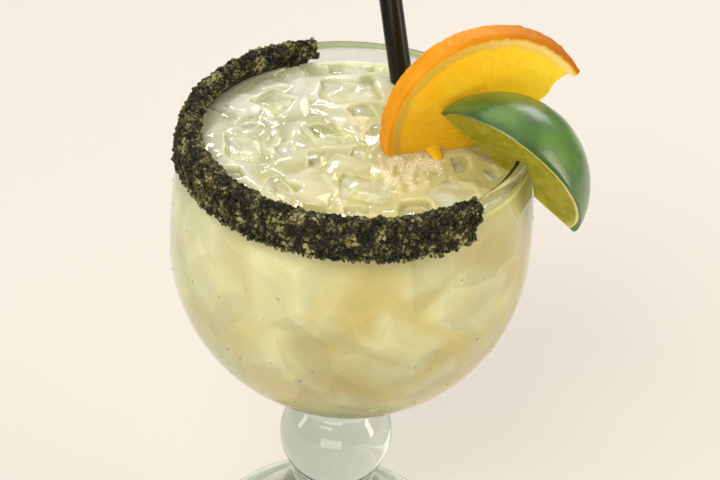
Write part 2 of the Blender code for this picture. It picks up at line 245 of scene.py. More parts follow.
def spread(start, end, count):
    return [start + (end - start) * i / count for i in range(count + 1)]


def wave(point, size, seed=0.0):
    # Smooth noise between about -1 and 1, with lumps of the given size in millimetres
    return noise.noise(Vector(point) / size + Vector((seed, seed * 0.7, -seed)))


def waves(x, y, size, seed):
    return np.array([wave((a, b, 0), size, seed) for a, b in zip(x, y)])


def smoothStep(value, low, high):
    t = min(1.0, max(0.0, (value - low) / (high - low)))
    return t * t * (3 - 2 * t)


# Camera, lamps and floor

cameraValues = {
    "elevation": 34.5, "roll": 4.2, "distance": 850.0, "aimHeight": 120.5,
    "lens": 136.94, "aimRight": 3.057, "aimDown": 0.621,
}


def placeCamera(values):
    rise, roll = math.radians(values["elevation"]), math.radians(values["roll"])
    right = Vector((1.0, 0.0, 0.0))
    up = Vector((0.0, math.sin(rise), math.cos(rise)))
    back = Vector((0.0, -math.cos(rise), math.sin(rise)))
    middle = Vector((0.0, 0.0, values["aimHeight"] * mm))
    place = middle + back * values["distance"] * mm
    across = right * math.cos(roll) + up * math.sin(roll)
    upright = up * math.cos(roll) - right * math.sin(roll)
    aim = middle + across * values["aimRight"] * mm - upright * values["aimDown"] * mm
    z = (place - aim).normalized()
    x = upright.cross(z).normalized()
    y = z.cross(x)
    matrix = Matrix((x, y, z)).transposed().to_4x4()
    matrix.translation = place
    camera = bpy.data.objects.new("camera", bpy.data.cameras.new("camera"))
    bpy.context.scene.collection.objects.link(camera)
    camera.matrix_world = matrix
    camera.data.lens = values["lens"]
    camera.data.clip_start = 0.01
    bpy.context.scene.camera = camera


placeCamera(cameraValues)

# name: azimuth and elevation it shines from, distance, width, height, watts, colour
lampValues = {
    "keyLamp": (240, 46, 1100, 620, 480, 5.6, "#fff6ea"),
    "skyLamp": (80, 80, 1000, 800, 800, 1.3, "#fffdf8"),
    "glintLamp": (104, 43, 1150, 260, 150, 3.8, "#ffffff"),
    "backRightLamp": (62, 34, 1000, 460, 340, 2.6, "#fffaf2"),
    "leftStrip": (186, 22, 800, 130, 620, 1.6, "#fdf6ee"),
    "rightStrip": (350, 18, 800, 160, 620, 3.0, "#ffeedc"),
    "lowFill": (262, 4, 900, 700, 300, 2.5, "#fff4e6"),
}


def placeLamps(values):
    target = Vector((0.0, 0.0, 0.125))
    for name, (azimuth, elevation, distance, width, height, watts, colour) in values.items():
        a, e = math.radians(azimuth), math.radians(elevation)
        out = Vector((math.cos(a) * math.cos(e), math.sin(a) * math.cos(e), math.sin(e)))
        data = bpy.data.lights.new(name, "AREA")
        data.shape = "RECTANGLE"
        data.size, data.size_y = width * mm, height * mm
        data.energy = watts
        data.color = toLinear(colour)[:3]
        lamp = bpy.data.objects.new(name, data)
        bpy.context.scene.collection.objects.link(lamp)
        lamp.location = target + out * distance * mm
        lamp.rotation_euler = out.to_track_quat("Z", "Y").to_euler()


placeLamps(lampValues)


roomValues = {
    "tent": [(0.0, "#6f6d6a"), (0.12, "#77746f"), (0.45, "#dddad5"), (0.9, "#f6f4f0")],
    "strength": 0.4, "board": "#dedad4", "halfSide": 3.0,
}


def makeRoom(values):
    world = bpy.data.worlds.new("studio")
    bpy.context.scene.world = world
    world.use_nodes = True
    # A bright tent overhead that darkens towards the horizon, so clear glass keeps its edges
    tree = world.node_tree
    way = addNode(tree, "ShaderNodeTexCoord").outputs["Generated"]
    tent = addRamp(tree, splitPlace(tree, way)["Z"], values["tent"])
    background = tree.nodes["Background"]
    tree.links.new(tent.outputs[0], background.inputs["Color"])
    background.inputs["Strength"].default_value = values["strength"]
    bpy.context.scene.view_settings.view_transform = "Standard"
    # Matte painted board: even, with a barely visible roller texture
    board, tree = newMaterial("matteBoard")
    grain = addNoise(tree, objectPlace(tree), 900.0)
    finishMaterial(tree, {"Base Color": values["board"], "Roughness": 0.85,
                          "Normal": addBump(tree, grain, 0.05, 0.0002)})
    side = values["halfSide"]
    corners = [(-side, -side, 0), (side, -side, 0), (side, side, 0), (-side, side, 0)]
    floor = makePiece("floor", corners, [(0, 1, 2, 3)], board)


makeRoom(roomValues)
print("room ready")


# Goblet

gobletValues = {
    "bowlRadius": 56.0, "widestZ": 120.5, "rimTopZ": 161.0, "rimDrawnIn": 3.3, "rimCurve": 2.2,
    "wall": 4.5, "rimWall": 4.8, "innerWidestZ": 121.5,
    "neckRadius": 12.6, "neckZ": 62.2, "knobRadius": 18.2, "knobZ": 44.2,
    "stemRadius": 13.6, "stemZ": 28.0, "flareDepth": 19.5, "flareSpread": 0.17,
    "footRadius": 38.4, "footEdge": 3.2, "ridges": 3, "ridgeHeight": 0.45, "steps": 160,
}
bowl = gobletValues


def bowlOuter(z):
    if z < bowl["widestZ"]:
        return math.sqrt(bowl["bowlRadius"] ** 2 - (bowl["widestZ"] - z) ** 2)
    rise = (z - bowl["widestZ"]) / (bowl["rimTopZ"] - 0.5 - bowl["widestZ"])
    return bowl["bowlRadius"] - bowl["rimDrawnIn"] * rise ** bowl["rimCurve"]


def bowlInner(z):
    radius = bowl["bowlRadius"] - bowl["wall"]
    if z < bowl["innerWidestZ"]:
        return math.sqrt(max(0.0, radius ** 2 - (bowl["innerWidestZ"] - z) ** 2))
    rise = (z - bowl["innerWidestZ"]) / (bowl["rimTopZ"] - bowl["innerWidestZ"])
    return bowlOuter(z) - bowl["wall"] - (bowl["rimWall"] - bowl["wall"]) * rise


def lipCentre():
    z = bowl["rimTopZ"] - bowl["rimWall"] / 2
    return bowlOuter(z) - bowl["rimWall"] / 2, z


def lipArc(offset, start, end, count):
    r, z = lipCentre()
    reach = bowl["rimWall"] / 2 + offset
    turned = [onCircle(reach, degrees) for degrees in spread(start, end, count)]
    return [(r + across, z + up) for across, up in turned]


def innerBall(offset, count):
    # From the widest line of the inside down to the middle of its bottom
    radius = bowl["bowlRadius"] - bowl["wall"] + offset
    angles = [math.pi / 2 * (1 - i / count) for i in range(count + 1)]
    return [(radius * math.sin(a), bowl["innerWidestZ"] - radius * math.cos(a)) for a in angles]


def gobletProfile():
    v = bowl
    top = lipCentre()[1]
    inside = [(bowlInner(z), z) for z in spread(top, v["innerWidestZ"], 16)][:-1] + innerBall(0.0, 44)
    inside[-1] = (0.0, inside[-1][1])
    inside.reverse()
    lip = lipArc(0.0, 180, 0, 14)[1:]
    outside = [(bowlOuter(z), z) for z in spread(top, v["widestZ"], 18)[1:]]
    for a in spread(math.pi / 2, math.radians(15), 40)[1:]:
        outside.append((v["bowlRadius"] * math.sin(a), v["widestZ"] - v["bowlRadius"] * math.cos(a)))
    neck = [(v["neckRadius"] + 0.4, v["neckZ"] + 2.4), (v["neckRadius"], v["neckZ"]),
            (v["neckRadius"] - 0.1, v["neckZ"] - 2.6)]
    knob = []
    for degrees in spread(46, 131, 12):
        a = math.radians(degrees)
        knob.append((v["knobRadius"] * math.sin(a), v["knobZ"] + v["knobRadius"] * math.cos(a)))
    flare = [(v["stemRadius"] - 0.3, v["stemZ"] + 2.6)]
    for drop in spread(0.0, v["flareDepth"], 12):
        flare.append((v["stemRadius"] + v["flareSpread"] * drop ** 1.5, v["stemZ"] - drop))
    startR, startZ = flare[-1]
    edge = v["footEdge"] / 2
    endR = v["footRadius"] - edge
    ridges = []
    for i in range(1, v["ridges"] * 10 + 1):
        t = i / (v["ridges"] * 10)
        lift = v["ridgeHeight"] * math.sin(math.tau * v["ridges"] * t)
        ridges.append((startR + (endR - startR) * t, startZ + (v["footEdge"] - startZ) * t + lift))
    rounded = [(endR + across, edge + up) for across, up in
               [onCircle(edge, degrees) for degrees in spread(70, -90, 10)]]
    stem = cutCorners([outside[-1]] + neck + knob + flare + ridges + rounded, 2)
    return inside + lip + outside + stem[1:] + [(0.0, 0.0)]


def glassMaterial():
    # Pressed soda-lime glass, fire polished: clear with a grey-green cast where it is thick,
    # and a slow waviness that bends the highlights
    material, tree = newMaterial("sodaLimeGlass")
    ripples = addNoise(tree, objectPlace(tree), 42.0, 1.5, Roughness=0.4)
    shader = addShader(tree, {"Base Color": "#f1f6f2", "Roughness": 0.0, "IOR": 1.5,
                              "Transmission Weight": 1.0, "Normal": addBump(tree, ripples, 0.35, 0.0006)})
    letLampsThrough(tree, shader, "#f4f8f4", ("#9db8a8", 13.0))
    return material


goblet = makePiece("goblet", *turnProfile(gobletProfile(), gobletValues["steps"]), glassMaterial())
fixNormals(goblet)
dress(goblet, "glass")
print("goblet ready")


# Drink: a wet, lumpy top of film-covered ice, and ice that shows through the glass at its side

drinkValues = {
    "level": 154.0, "intoWall": 0.1, "steps": 360, "topRings": 100, "wallRings": 40, "ballRings": 110,
    "lumps": 24, "lumpReach": 47.0, "lumpStray": 2.0, "lumpSide": (6.0, 11.0), "lumpRise": (0.1, 1.4),
    "lumpTilt": 0.15, "lumpSoftness": 1.6, "lumpFall": 0.9, "blend": 0.24,
    "meniscus": 1.0, "meniscusReach": 1.1, "shoreReach": 3.0, "calmReach": 5.0,
    "basinDepth": 4.0, "basinEdge": 2.2, "warp": 2.8, "warpSize": 9.0,
    "shoulder": 0.6, "shoulderOut": 1.2, "shoulderWidth": 2.0, "crease": 0.75, "creaseSoftness": 0.5,
    "sunkBlocks": 44, "sunkSide": (7.0, 12.5), "sunkReach": (41.0, 47.5), "sunkMiddleZ": 121.0,
    "sunkRounding": 1.5, "faceBlend": 1.8, "haze": 3.2, "paintedLampWay": (-0.45, -0.35, 0.82),
}

# Folds of the film: line on the surface, half width at its start and end, height
foldValues = [
    ([(-12.3, -13.3), (-17.3, -18.9), (-20.6, -26.1), (-25.0, -31.5)], 1.2, 3.2, 1.0),
    ([(-41.6, -8.4), (-35.8, -14.5), (-30.2, -24.5), (-24.0, -31.3)], 0.7, 1.2, 0.9),
    ([(-17.9, 10.1), (-19.7, 2.7), (-21.9, -5.7)], 1.4, 0.7, 1.1),
    ([(-28.9, 19.0), (-26.7, 9.9), (-23.9, 1.1), (-25.7, -5.2)], 0.7, 1.0, 1.0),
    ([(-35.9, 23.3), (-27.5, 22.9), (-21.1, 26.4), (-16.6, 25.5)], 0.6, 0.9, 0.9),
    ([(-20.8, 40.5), (-19.8, 34.1), (-20.5, 26.5)], 1.6, 0.8, 1.1),
    ([(-32.8, 11.1), (-35.7, 6.6), (-38.3, 4.2)], 0.6, 0.8, 0.8),
    ([(-38.2, 17.7), (-36.1, 19.0), (-35.7, 12.8), (-37.5, 8.4)], 0.7, 0.7, 0.8),
    ([(-0.3, -18.5), (5.1, -21.7), (13.2, -24.5), (14.1, -20.5)], 0.7, 0.9, 0.7),
    ([(-8.9, -17.7), (-5.3, -25.0), (-3.4, -32.4), (-2.6, -37.9)], 0.8, 1.5, 0.9),
    ([(-14.6, 31.6), (-12.6, 24.4), (-7.4, 20.9), (-0.9, 24.0), (4.4, 31.1)], 0.9, 1.0, 1.2),
    ([(-17.1, -5.0), (-9.6, -2.0), (-1.6, -0.9)], 0.7, 0.6, 0.5),
    ([(-14.0, -10.6), (-6.0, -9.5), (0.5, -12.6)], 0.6, 0.8, 0.6),
    ([(8.0, 4.0), (2.0, -6.0), (8.0, -14.0)], 0.8, 0.6, 0.6),
    ([(20.0, -33.0), (27.0, -29.0), (36.0, -22.0)], 0.8, 0.8, 0.7),
    ([(24.0, 40.0), (34.0, 30.0), (38.0, 18.0)], 0.8, 1.2, 0.9),
    ([(-30.0, 30.0), (-24.0, 32.0), (-17.0, 31.0)], 1.0, 0.6, 0.8),
    ([(-8.0, 14.0), (-4.0, 8.0), (3.0, 6.0)], 0.8, 0.6, 0.7),
    ([(12.0, 20.0), (20.0, 28.0), (22.0, 36.0)], 0.7, 1.0, 0.8),
    ([(40.0, 12.0), (43.0, 2.0), (42.0, -8.0)], 0.7, 0.9, 0.7),
]

# Foam patches: middle (x, y), size, strength
frothValues = {
    "sizes": (0.42, 0.12, 0.38),    # spacing, smallest, largest
    "side": 128, "reach": 50.0,
    "patches": [(-4.0, 17.0, 7.0, 0.7), (2.0, 9.0, 5.0, 0.6), (14.0, -12.0, 8.0, 1.2), (22.0, -6.0, 6.0, 1.3),
                (11.0, -5.0, 5.0, 0.9), (17.0, -20.0, 6.0, 0.7), (14.0, 30.0, 6.0, 0.4)],
}

# Edges and faces of ice that show through the wall: (azimuth, height) line, half width at its
# start and end, softness, brightness, share of ice. The brightness paints highlights, pale streaks and glints
# along the ice's edges, and darker strokes where it is below zero
wallMarks = [
    ([(248.6, 133.0), (261.1, 141.5)], 0.3, 1.6, 0.25, 3.6, 1.0),
    ([(246.9, 118.5), (256.9, 106.6), (251.7, 102.0)], 0.6, 1.5, 0.3, 1.5, 0.5),
    ([(259.9, 118.6), (264.9, 130.8), (272.7, 139.4)], 0.4, 1.1, 0.25, 1.3, 0.6),
    ([(256.7, 120.9), (261.5, 131.9), (266.9, 138.5)], 0.6, 4.2, 0.8, 0.35, 0.5),
    ([(256.9, 117.2), (268.0, 121.4), (287.2, 111.8)], 2.6, 1.4, 0.35, -0.9, 0.6),
    ([(262.0, 110.0), (275.0, 112.0)], 4.5, 3.0, 1.2, -0.3, 0.6),
    ([(313.6, 134.9), (309.4, 128.1)], 3.0, 2.0, 1.2, 0.5, 0.8),
    ([(232.9, 123.9), (241.6, 123.5)], 4.0, 3.0, 1.4, -0.2, 0.9),
    ([(285.0, 132.8), (289.2, 118.7)], 0.7, 0.3, 0.3, 0.4, 0.2),
    ([(297.5, 131.1), (299.5, 124.0)], 0.5, 0.3, 0.25, 0.7, 0.6),
    ([(274.8, 133.1), (278.1, 123.2)], 3.4, 1.5, 0.9, -0.4, 0.1),
    ([(211.4, 130.4), (204.8, 111.7)], 2.5, 2.0, 1.2, 0.5, 0.7),
    ([(222.0, 139.0), (229.0, 128.0), (224.0, 116.0)], 1.4, 0.5, 0.5, 0.5, 0.4),
    ([(325.0, 128.0), (334.0, 112.0)], 1.2, 2.4, 0.7, 0.5, 0.5),
    ([(345.0, 140.0), (352.0, 122.0), (346.0, 108.0)], 2.6, 1.0, 0.9, 0.4, 0.6),
    ([(15.0, 136.0), (25.0, 118.0)], 1.0, 3.0, 0.8, 0.6, 0.6),
    ([(52.0, 128.0), (68.0, 122.0), (80.0, 106.0)], 0.8, 2.4, 0.6, 0.6, 0.6),
    ([(95.0, 140.0), (108.0, 122.0)], 2.6, 0.8, 0.6, 0.5, 0.5),
    ([(128.0, 112.0), (142.0, 130.0), (150.0, 134.0)], 0.6, 2.0, 0.5, 0.7, 0.5),
    ([(168.0, 138.0), (176.0, 116.0)], 0.7, 2.8, 0.8, 0.5, 0.7),
]

# How far the film laps over the edge of a block
filmOver = {"ice_back": 2.2, "ice_front": 3.4, "ice_front_right": 3.2, "ice_back_right": 3.2,
            "ice_back_left": 4.0, "ice_left": 4.2, "ice_middle": 4.6, "ice_front_left": 4.2}

# As the solids have them: middle, sides, turn about Z and tilts about X and Y, height of the top
iceValues = {
    "ice_back": ((-3.5, 32.0), (23, 18, 19), (8, 9, -4), 156.0),
    "ice_back_left": ((-27.0, 21.5), (18, 20, 18), (-38, -5, 8), 155.9),
    "ice_left": ((-34.5, -5.5), (18, 21, 18), (9, 5, 8), 155.8),
    "ice_middle": ((-9.5, 6.0), (19, 19, 18), (24, -9, 6), 155.9),
    "ice_front_left": ((-21.5, -27.0), (20, 18, 19), (-36, 8, 5), 155.9),
    "ice_front": ((3.0, -23.0), (22, 20, 18), (-14, 9, -6), 155.7),
    "ice_front_right": ((29.0, -22.5), (19, 19, 18), (-38, -6, -8), 156.0),
    "ice_back_right": ((27.0, 27.0), (18, 17, 17), (45, 6, 5), 155.9),
}


def softOver(value, limit, softness):
    # How far a value goes beyond a limit, with a rounded start
    past = value - limit
    return 0.5 * (past + np.sqrt(past * past + softness * softness))


def strokeShare(points, line, startWidth, endWidth, softness):
    # 1 on a brush stroke along a line, falling to 0 past its edge
    line = [np.array(corner) for corner in line]
    lengths = [np.linalg.norm(end - start) for start, end in zip(line, line[1:])]
    share = np.zeros(len(points))
    gone = 0.0
    for start, end, length in zip(line, line[1:], lengths):
        t = np.clip((points - start) @ (end - start) / length ** 2, 0.0, 1.0)
        gap = np.linalg.norm(points - start - t[:, None] * (end - start), axis=1)
        width = startWidth + (endWidth - startWidth) * (gone + t * length) / sum(lengths)
        share = np.maximum(share, 1.0 / (1.0 + np.exp(np.clip((gap - width) / softness, -30.0, 30.0))))
        gone += length
    return share


def foldHeights(x, y):
    # Soft creases of the film, sharper on their crest than at their foot
    points = np.stack((x, y), axis=1)
    height = np.zeros_like(x)
    for line, startWidth, endWidth, rise in foldValues:
        share = strokeShare(points, cutCorners(line, 3), startWidth, endWidth, drinkValues["creaseSoftness"])
        height = np.maximum(height, rise * share)
    return drinkValues["crease"] * height


def foamShare(x, y):
    # Foam gathers in patches in front of the orange and beside the straw, in fine streaks
    gathered = np.zeros_like(x)
    for px, py, size, strength in frothValues["patches"]:
        gathered += strength * np.exp(-((x - px) ** 2 + (y - py) ** 2) / size ** 2)
    streak = 0.55 + 1.3 * waves(x, y * 0.3, 2.2, 12)
    return np.clip(gathered * streak, 0.0, 1.0)


def surfaceHeights(x, y):
    # Height of the drink's top: softly joined lumps of film-covered ice
    v = drinkValues
    rng = random.Random(23)
    terms = [np.zeros_like(x)]
    for i in range(v["lumps"]):
        r = v["lumpReach"] * math.sqrt((i + 0.5) / v["lumps"])
        a = i * goldenAngle
        stray = v["lumpStray"]
        cx, cy = r * math.cos(a) + rng.uniform(-stray, stray), r * math.sin(a) + rng.uniform(-stray, stray)
        turn = rng.uniform(0, math.pi)
        sideU, sideV = rng.uniform(*v["lumpSide"]), rng.uniform(*v["lumpSide"])
        rise = rng.uniform(*v["lumpRise"])
        tiltU, tiltV = rng.uniform(-1, 1) * v["lumpTilt"], rng.uniform(-1, 1) * v["lumpTilt"]
        u = (x - cx) * math.cos(turn) + (y - cy) * math.sin(turn)
        w = -(x - cx) * math.sin(turn) + (y - cy) * math.cos(turn)
        fall = softOver(np.abs(u), sideU, v["lumpSoftness"]) + softOver(np.abs(w), sideV, v["lumpSoftness"])
        terms.append(rise + tiltU * u + tiltV * w - v["lumpFall"] * fall)
    stack = np.stack(terms) / v["blend"]
    peak = stack.max(axis=0)
    return v["blend"] * (peak + np.log(np.exp(stack - peak).sum(axis=0)))


fragmentValues = {
    "tries": 300, "reach": 46.5, "wallReach": 50.0, "side": (8.0, 15.0), "uneven": (0.85, 1.25),
    "top": (154.9, 155.6), "tilt": 12, "overlap": 1.0, "film": 1.8,
    "straw": (12.8, 38.9), "strawClearance": 4.0,
    # Kept clear: the sunk end of the orange, and the foam in front of it
    "kept": [((22.9, 4.8), (34, 15), 19.6), ((20.0, -9.0), (24, 18), 19.6)],
    # Set under the lime
    "placed": [((31.7, -6.3), (9.5, 11.0, 10.0), (18.0, -9, 7), 156.0)],
}


def rectangleGap(x, y, middle, sides, degrees):
    # Distance from a turned rectangle's edge, negative inside
    a = math.radians(degrees)
    u = abs((x - middle[0]) * math.cos(a) + (y - middle[1]) * math.sin(a)) - sides[0] / 2
    w = abs(-(x - middle[0]) * math.sin(a) + (y - middle[1]) * math.cos(a)) - sides[1] / 2
    return np.maximum(u, w)


def planFragments():
    # Smaller melted pieces between the blocks, clear of the wall, the straw and the fruit
    v = fragmentValues
    rng = random.Random(31)
    plan = list(v["placed"])
    taken = [(middle, sides, turns[0]) for middle, sides, turns, _ in list(iceValues.values()) + plan]
    taken += v["kept"]
    for i in range(v["tries"]):
        r, a = v["reach"] * math.sqrt((i + 0.5) / v["tries"]), i * goldenAngle
        x, y = r * math.cos(a), r * math.sin(a)
        gap = min(float(rectangleGap(x, y, *block)) for block in taken)
        strawGap = math.dist((x, y), v["straw"]) - v["strawClearance"]
        side = 2 * (min(gap, v["wallReach"] - r, strawGap) + v["overlap"])
        if side < v["side"][0]:
            continue
        sides = [min(side, v["side"][1]) * rng.uniform(*v["uneven"]) for _ in range(3)]
        turns = (rng.uniform(0, 90), rng.uniform(-1, 1) * v["tilt"], rng.uniform(-1, 1) * v["tilt"])
        plan.append(((x, y), sides, turns, rng.uniform(*v["top"])))
        taken.append(((x, y), sides, turns[0]))
    return plan


fragmentPlan = planFragments()


def blockFootprint(x, y):
    # 1 under the bare middle of a clear piece, and how close a block's covered shoulder is
    v = drinkValues
    x = x + v["warp"] * waves(x, y, v["warpSize"], 21)
    y = y + v["warp"] * waves(x, y, v["warpSize"], 27)
    deep = np.zeros_like(x)
    shoulder = np.zeros_like(x)
    for name, (middle, sides, turns, _) in iceValues.items():
        gap = rectangleGap(x, y, middle, sides, turns[0])
        deep = np.maximum(deep, np.clip((-gap - filmOver[name]) / v["basinEdge"], 0.0, 1.0))
        bulge = np.exp(-((gap + v["shoulderOut"]) / v["shoulderWidth"]) ** 2)
        shoulder = np.maximum(shoulder, bulge)
    for middle, sides, turns, _ in fragmentPlan:
        gap = rectangleGap(x, y, middle, sides, turns[0])
        deep = np.maximum(deep, np.clip((-gap - fragmentValues["film"]) / v["basinEdge"], 0.0, 1.0))
    return deep * deep * (3 - 2 * deep), shoulder


def surfaceLift(x, y, height, footprint, wallGap):
    # The liquid climbs the wall, ripples, folds, and gives way under the clear pieces
    v = drinkValues
    deep, shoulder = footprint
    wallGap = np.maximum(0.0, wallGap)
    inland = np.clip(wallGap / v["shoreReach"], 0.0, 1.0)
    height = height * np.clip(wallGap / v["calmReach"], 0.25, 1.0)
    height = height + v["meniscus"] * np.exp(-wallGap / v["meniscusReach"])
    height = np.maximum(height, v["shoulder"] * shoulder * inland)
    ripple = 0.1 * waves(x, y, 3.0, 3) + 0.3 * waves(x, y, 8.0, 9)
    folds = foldHeights(x, y)
    height = height * (1 - 0.5 * folds) + (ripple + folds) * inland
    return height * (1 - deep) - v["basinDepth"] * deep, ripple + folds


def sunkIce(points):
    # How near the closest sunk block is to each point of the wall, and the painted light and shade of its
    # faces, lit from a fixed lamp direction
    v = drinkValues
    rng = random.Random(5)
    near = np.zeros(len(points))
    light = np.zeros(len(points))
    weight = np.full(len(points), 1e-6)
    for i in range(v["sunkBlocks"]):
        z = 1 - 2 * (i + 0.5) / v["sunkBlocks"]
        a = i * goldenAngle + rng.uniform(-0.2, 0.2)
        flat = math.sqrt(1 - z * z)
        middle = np.array((flat * math.cos(a), flat * math.sin(a), z)) * rng.uniform(*v["sunkReach"])
        middle += np.array((0, 0, v["sunkMiddleZ"]))
        turn = Matrix.Rotation(rng.uniform(0, 3), 3, "Z") @ Matrix.Rotation(rng.uniform(0, 3), 3, "X")
        turn = np.array(turn @ Matrix.Rotation(rng.uniform(0, 3), 3, "Y"))
        half = np.array([rng.uniform(*v["sunkSide"]) for _ in range(3)])
        local = (points - middle) @ turn
        q = np.abs(local) - (half - v["sunkRounding"])
        outermost = q.max(axis=1)
        distance = np.linalg.norm(np.maximum(q, 0.0), axis=1) + np.minimum(outermost, 0.0) - v["sunkRounding"]
        blend = np.exp((q - outermost[:, None]) / v["faceBlend"])
        way = blend * np.tanh(local / v["sunkRounding"])
        face = (way / np.linalg.norm(way, axis=1)[:, None]) @ turn.T
        closeness = np.exp(-np.maximum(distance + 0.5, 0.0) / v["haze"])
        share = np.exp(-np.clip(distance, -8.0, 20.0) / 0.7)
        # Corners and edges of the block get a painted highlight, a paler line
        ridge = 1.0 - (blend.max(axis=1) / blend.sum(axis=1) - 0.33) / 0.67
        weight += share
        near += share * closeness
        light += share * closeness * (face @ np.array(v["paintedLampWay"]) * 0.8 + ridge ** 2 * 1.2)
    near, light = near / weight, light / weight
    radius = bowl["bowlRadius"] - bowl["wall"]
    # Each mark paints its highlight or darker stroke into the painted light, and its ice share into the tone
    for line, startWidth, endWidth, softness, bright, share in wallMarks:
        spots = [(*onCircle(math.sqrt(radius ** 2 - (z - bowl["innerWidestZ"]) ** 2), azimuth), z)
                 for azimuth, z in line]
        stroke = strokeShare(points, spots, startWidth, endWidth, softness)
        near = near + (share - near) * stroke
        light = light + (bright - light * 0.5) * stroke
    return near, light


def makeDrink(material):
    v = drinkValues
    steps, level = v["steps"], v["level"]
    ball = innerBall(v["intoWall"], v["ballRings"])
    ball[-1] = (0.0, ball[-1][1])
    heights = spread(level, bowl["innerWidestZ"], v["wallRings"])
    wall = [(bowlInner(z) + v["intoWall"], z) for z in heights][:-1]
    rimR = wall[0][0]
    top = [(rimR * i / v["topRings"], level) for i in range(v["topRings"])]
    points, faces = turnProfile(top + wall + ball, steps)
    points = np.array(points) / mm
    topCount = 1 + v["topRings"] * steps
    x, y = points[:topCount, 0], points[:topCount, 1]
    wallGap = np.maximum(0.0, rimR - np.hypot(x, y))
    footprint = blockFootprint(x, y)
    deep = footprint[0]
    height, ripple = surfaceLift(x, y, surfaceHeights(x, y), footprint, wallGap)
    points[:topCount, 2] = level + height
    drink = makePiece("drinkBody", points * mm, faces, material)
    near, light = sunkIce(points)
    # On top the raised film takes the whiter crest tone and a painted highlight, and the low film takes the
    # darker hollow tone, which is painted shade
    raised = np.clip((height + ripple - 0.1) / 1.3, 0.0, 1.0)
    near[:topCount] = raised * (1 - deep) + deep * 0.5
    light[:topCount] = 0.4 * raised * (1 - deep)
    foam = np.zeros(len(points))
    foam[:topCount] = foamShare(x, y) * (1 - deep) * np.clip(wallGap / 2.0, 0.0, 1.0)
    for name, values in (("foam", foam), ("iceNear", near), ("iceLight", light)):
        addAttribute(drink, name, values)
    return drink


def drinkMaterial():
    # Lime juice, tequila and orange liqueur with melted ice: cloudy pale yellow that scatters
    # light a few millimetres deep, wet on top, greener and whiter where ice lies under the film, with painted
    # light and shade on the film's crests and hollows and on the ice behind the wall
    material, tree = newMaterial("cloudyLimeDrink")
    place = objectPlace(tree)
    parts = splitPlace(tree, place)
    near, foam = readAttribute(tree, "iceNear"), readAttribute(tree, "foam")
    swirl = addNoise(tree, place, 60.0, 3.0, Roughness=0.5, Distortion=0.5)
    # Warm and light at the bottom, where the lighter colour is painted light in place of light from below;
    # deeper along the ball, greener at the top and paler at the back left
    liquid = addRamp(tree, addRange(tree, parts["Z"], (0.07, 0.154)),
                     [(0.0, "#fde2a6"), (0.18, "#f2d894"), (0.4, "#cdb76e"), (0.72, "#cab46a"),
                      (1.0, "#d0c486")])
    # Paler at the back left: partly the drink's cloudier tone, partly a painted reflection of the broad lamps
    aside = addMath(tree, "MULTIPLY_ADD", parts["X"], -1.5, parts["Y"])
    back = addRange(tree, aside, (-0.05, 0.06))
    pale = mixColours(tree, back, liquid, "#ccc69a")
    # Under the film ice shows as greenish hollows and whitish crests, partly the ice's own tone and partly
    # painted shade in the hollows and painted light on the crests; through the wall as one tone
    onWall = addRange(tree, parts["Z"], (0.152, 0.146))
    hollow = mixColours(tree, back, "#cdc684", "#bfc49e")
    crest = mixColours(tree, back, "#d6cf98", "#dadccb")
    iceTone = mixColours(tree, onWall, mixColours(tree, near, hollow, crest), "#cfcda4")
    veil = addRange(tree, swirl, (0.3, 0.6), (0.55, 1.0))
    iceShare = mixValues(tree, onWall, 1.0, addMath(tree, "MULTIPLY", near, veil))
    iced = mixColours(tree, iceShare, pale, iceTone)
    # Flat faces of ice behind the wall: painted light and shade, each cell a slightly different brightness
    # like faces that meet the light at different angles
    tone = readAttribute(tree, "iceLight")
    curl = addNode(tree, "ShaderNodeVectorMath", {"operation": "MULTIPLY_ADD", 1: (0.004, 0.004, 0.004)},
                   {0: swirl.outputs["Color"], 2: place})
    fades = addMath(tree, "MULTIPLY", onWall, veil)
    for scale, contrast in ((50.0, 0.8), (104.0, 0.5)):
        cell = splitPlace(tree, addCells(tree, curl, scale).outputs["Color"])["X"]
        shade = addRange(tree, cell, (0.0, 1.0), (-contrast, contrast))
        tone = addMath(tree, "MULTIPLY_ADD", shade, fades, tone)
    # The painted light and shade scale the colour
    lift = addMath(tree, "MULTIPLY_ADD", tone, 0.12, 0.98)
    lit = addNode(tree, "ShaderNodeVectorMath", {"operation": "SCALE"}, {0: iced, "Scale": lift})
    relief = mixValues(tree, foam, swirl, addCells(tree, place, 1700.0))
    finishMaterial(tree, {
        "Base Color": mixColours(tree, foam, lit, "#efe6c2"),
        "Roughness": addRange(tree, foam, (0.0, 1.0), (0.07, 0.3)), "IOR": 1.34,
        "Coat Weight": 0.35, "Coat Roughness": 0.03,
        "Subsurface Weight": addRange(tree, onWall, (0.0, 1.0), (0.75, 0.12)),
        "Subsurface Radius": (1.0, 0.97, 0.75), "Subsurface Scale": 0.0045,
        "Normal": addBump(tree, relief, 0.2, 0.0005)})
    return material


drink = makeDrink(drinkMaterial())
dress(drink, "drink")
print("drink ready")


# Ice that breaks the surface

def iceMaterial():
    # Wet melting ice: clear, with a milky heart of trapped air and a rippled, rounded skin
    material, tree = newMaterial("meltingIce")
    place = objectPlace(tree)
    ripples = addNoise(tree, place, 190.0, 2.0, Distortion=0.6)
    cloud = addNoise(tree, place, 95.0, 3.0, Distortion=1.2)
    shader = addShader(tree, {"Base Color": "#f4f6ec", "Roughness": 0.04, "IOR": 1.31,
                              "Transmission Weight": addRange(tree, cloud, (0.38, 0.68), (0.95, 0.5)),
                              "Normal": addBump(tree, ripples, 0.5, 0.0006)})
    letLampsThrough(tree, shader, "#eef1e4")
    return material


meltValues = {"blockCuts": 13, "blockPower": 3.2, "fragmentCuts": 9, "fragmentPower": 2.6}


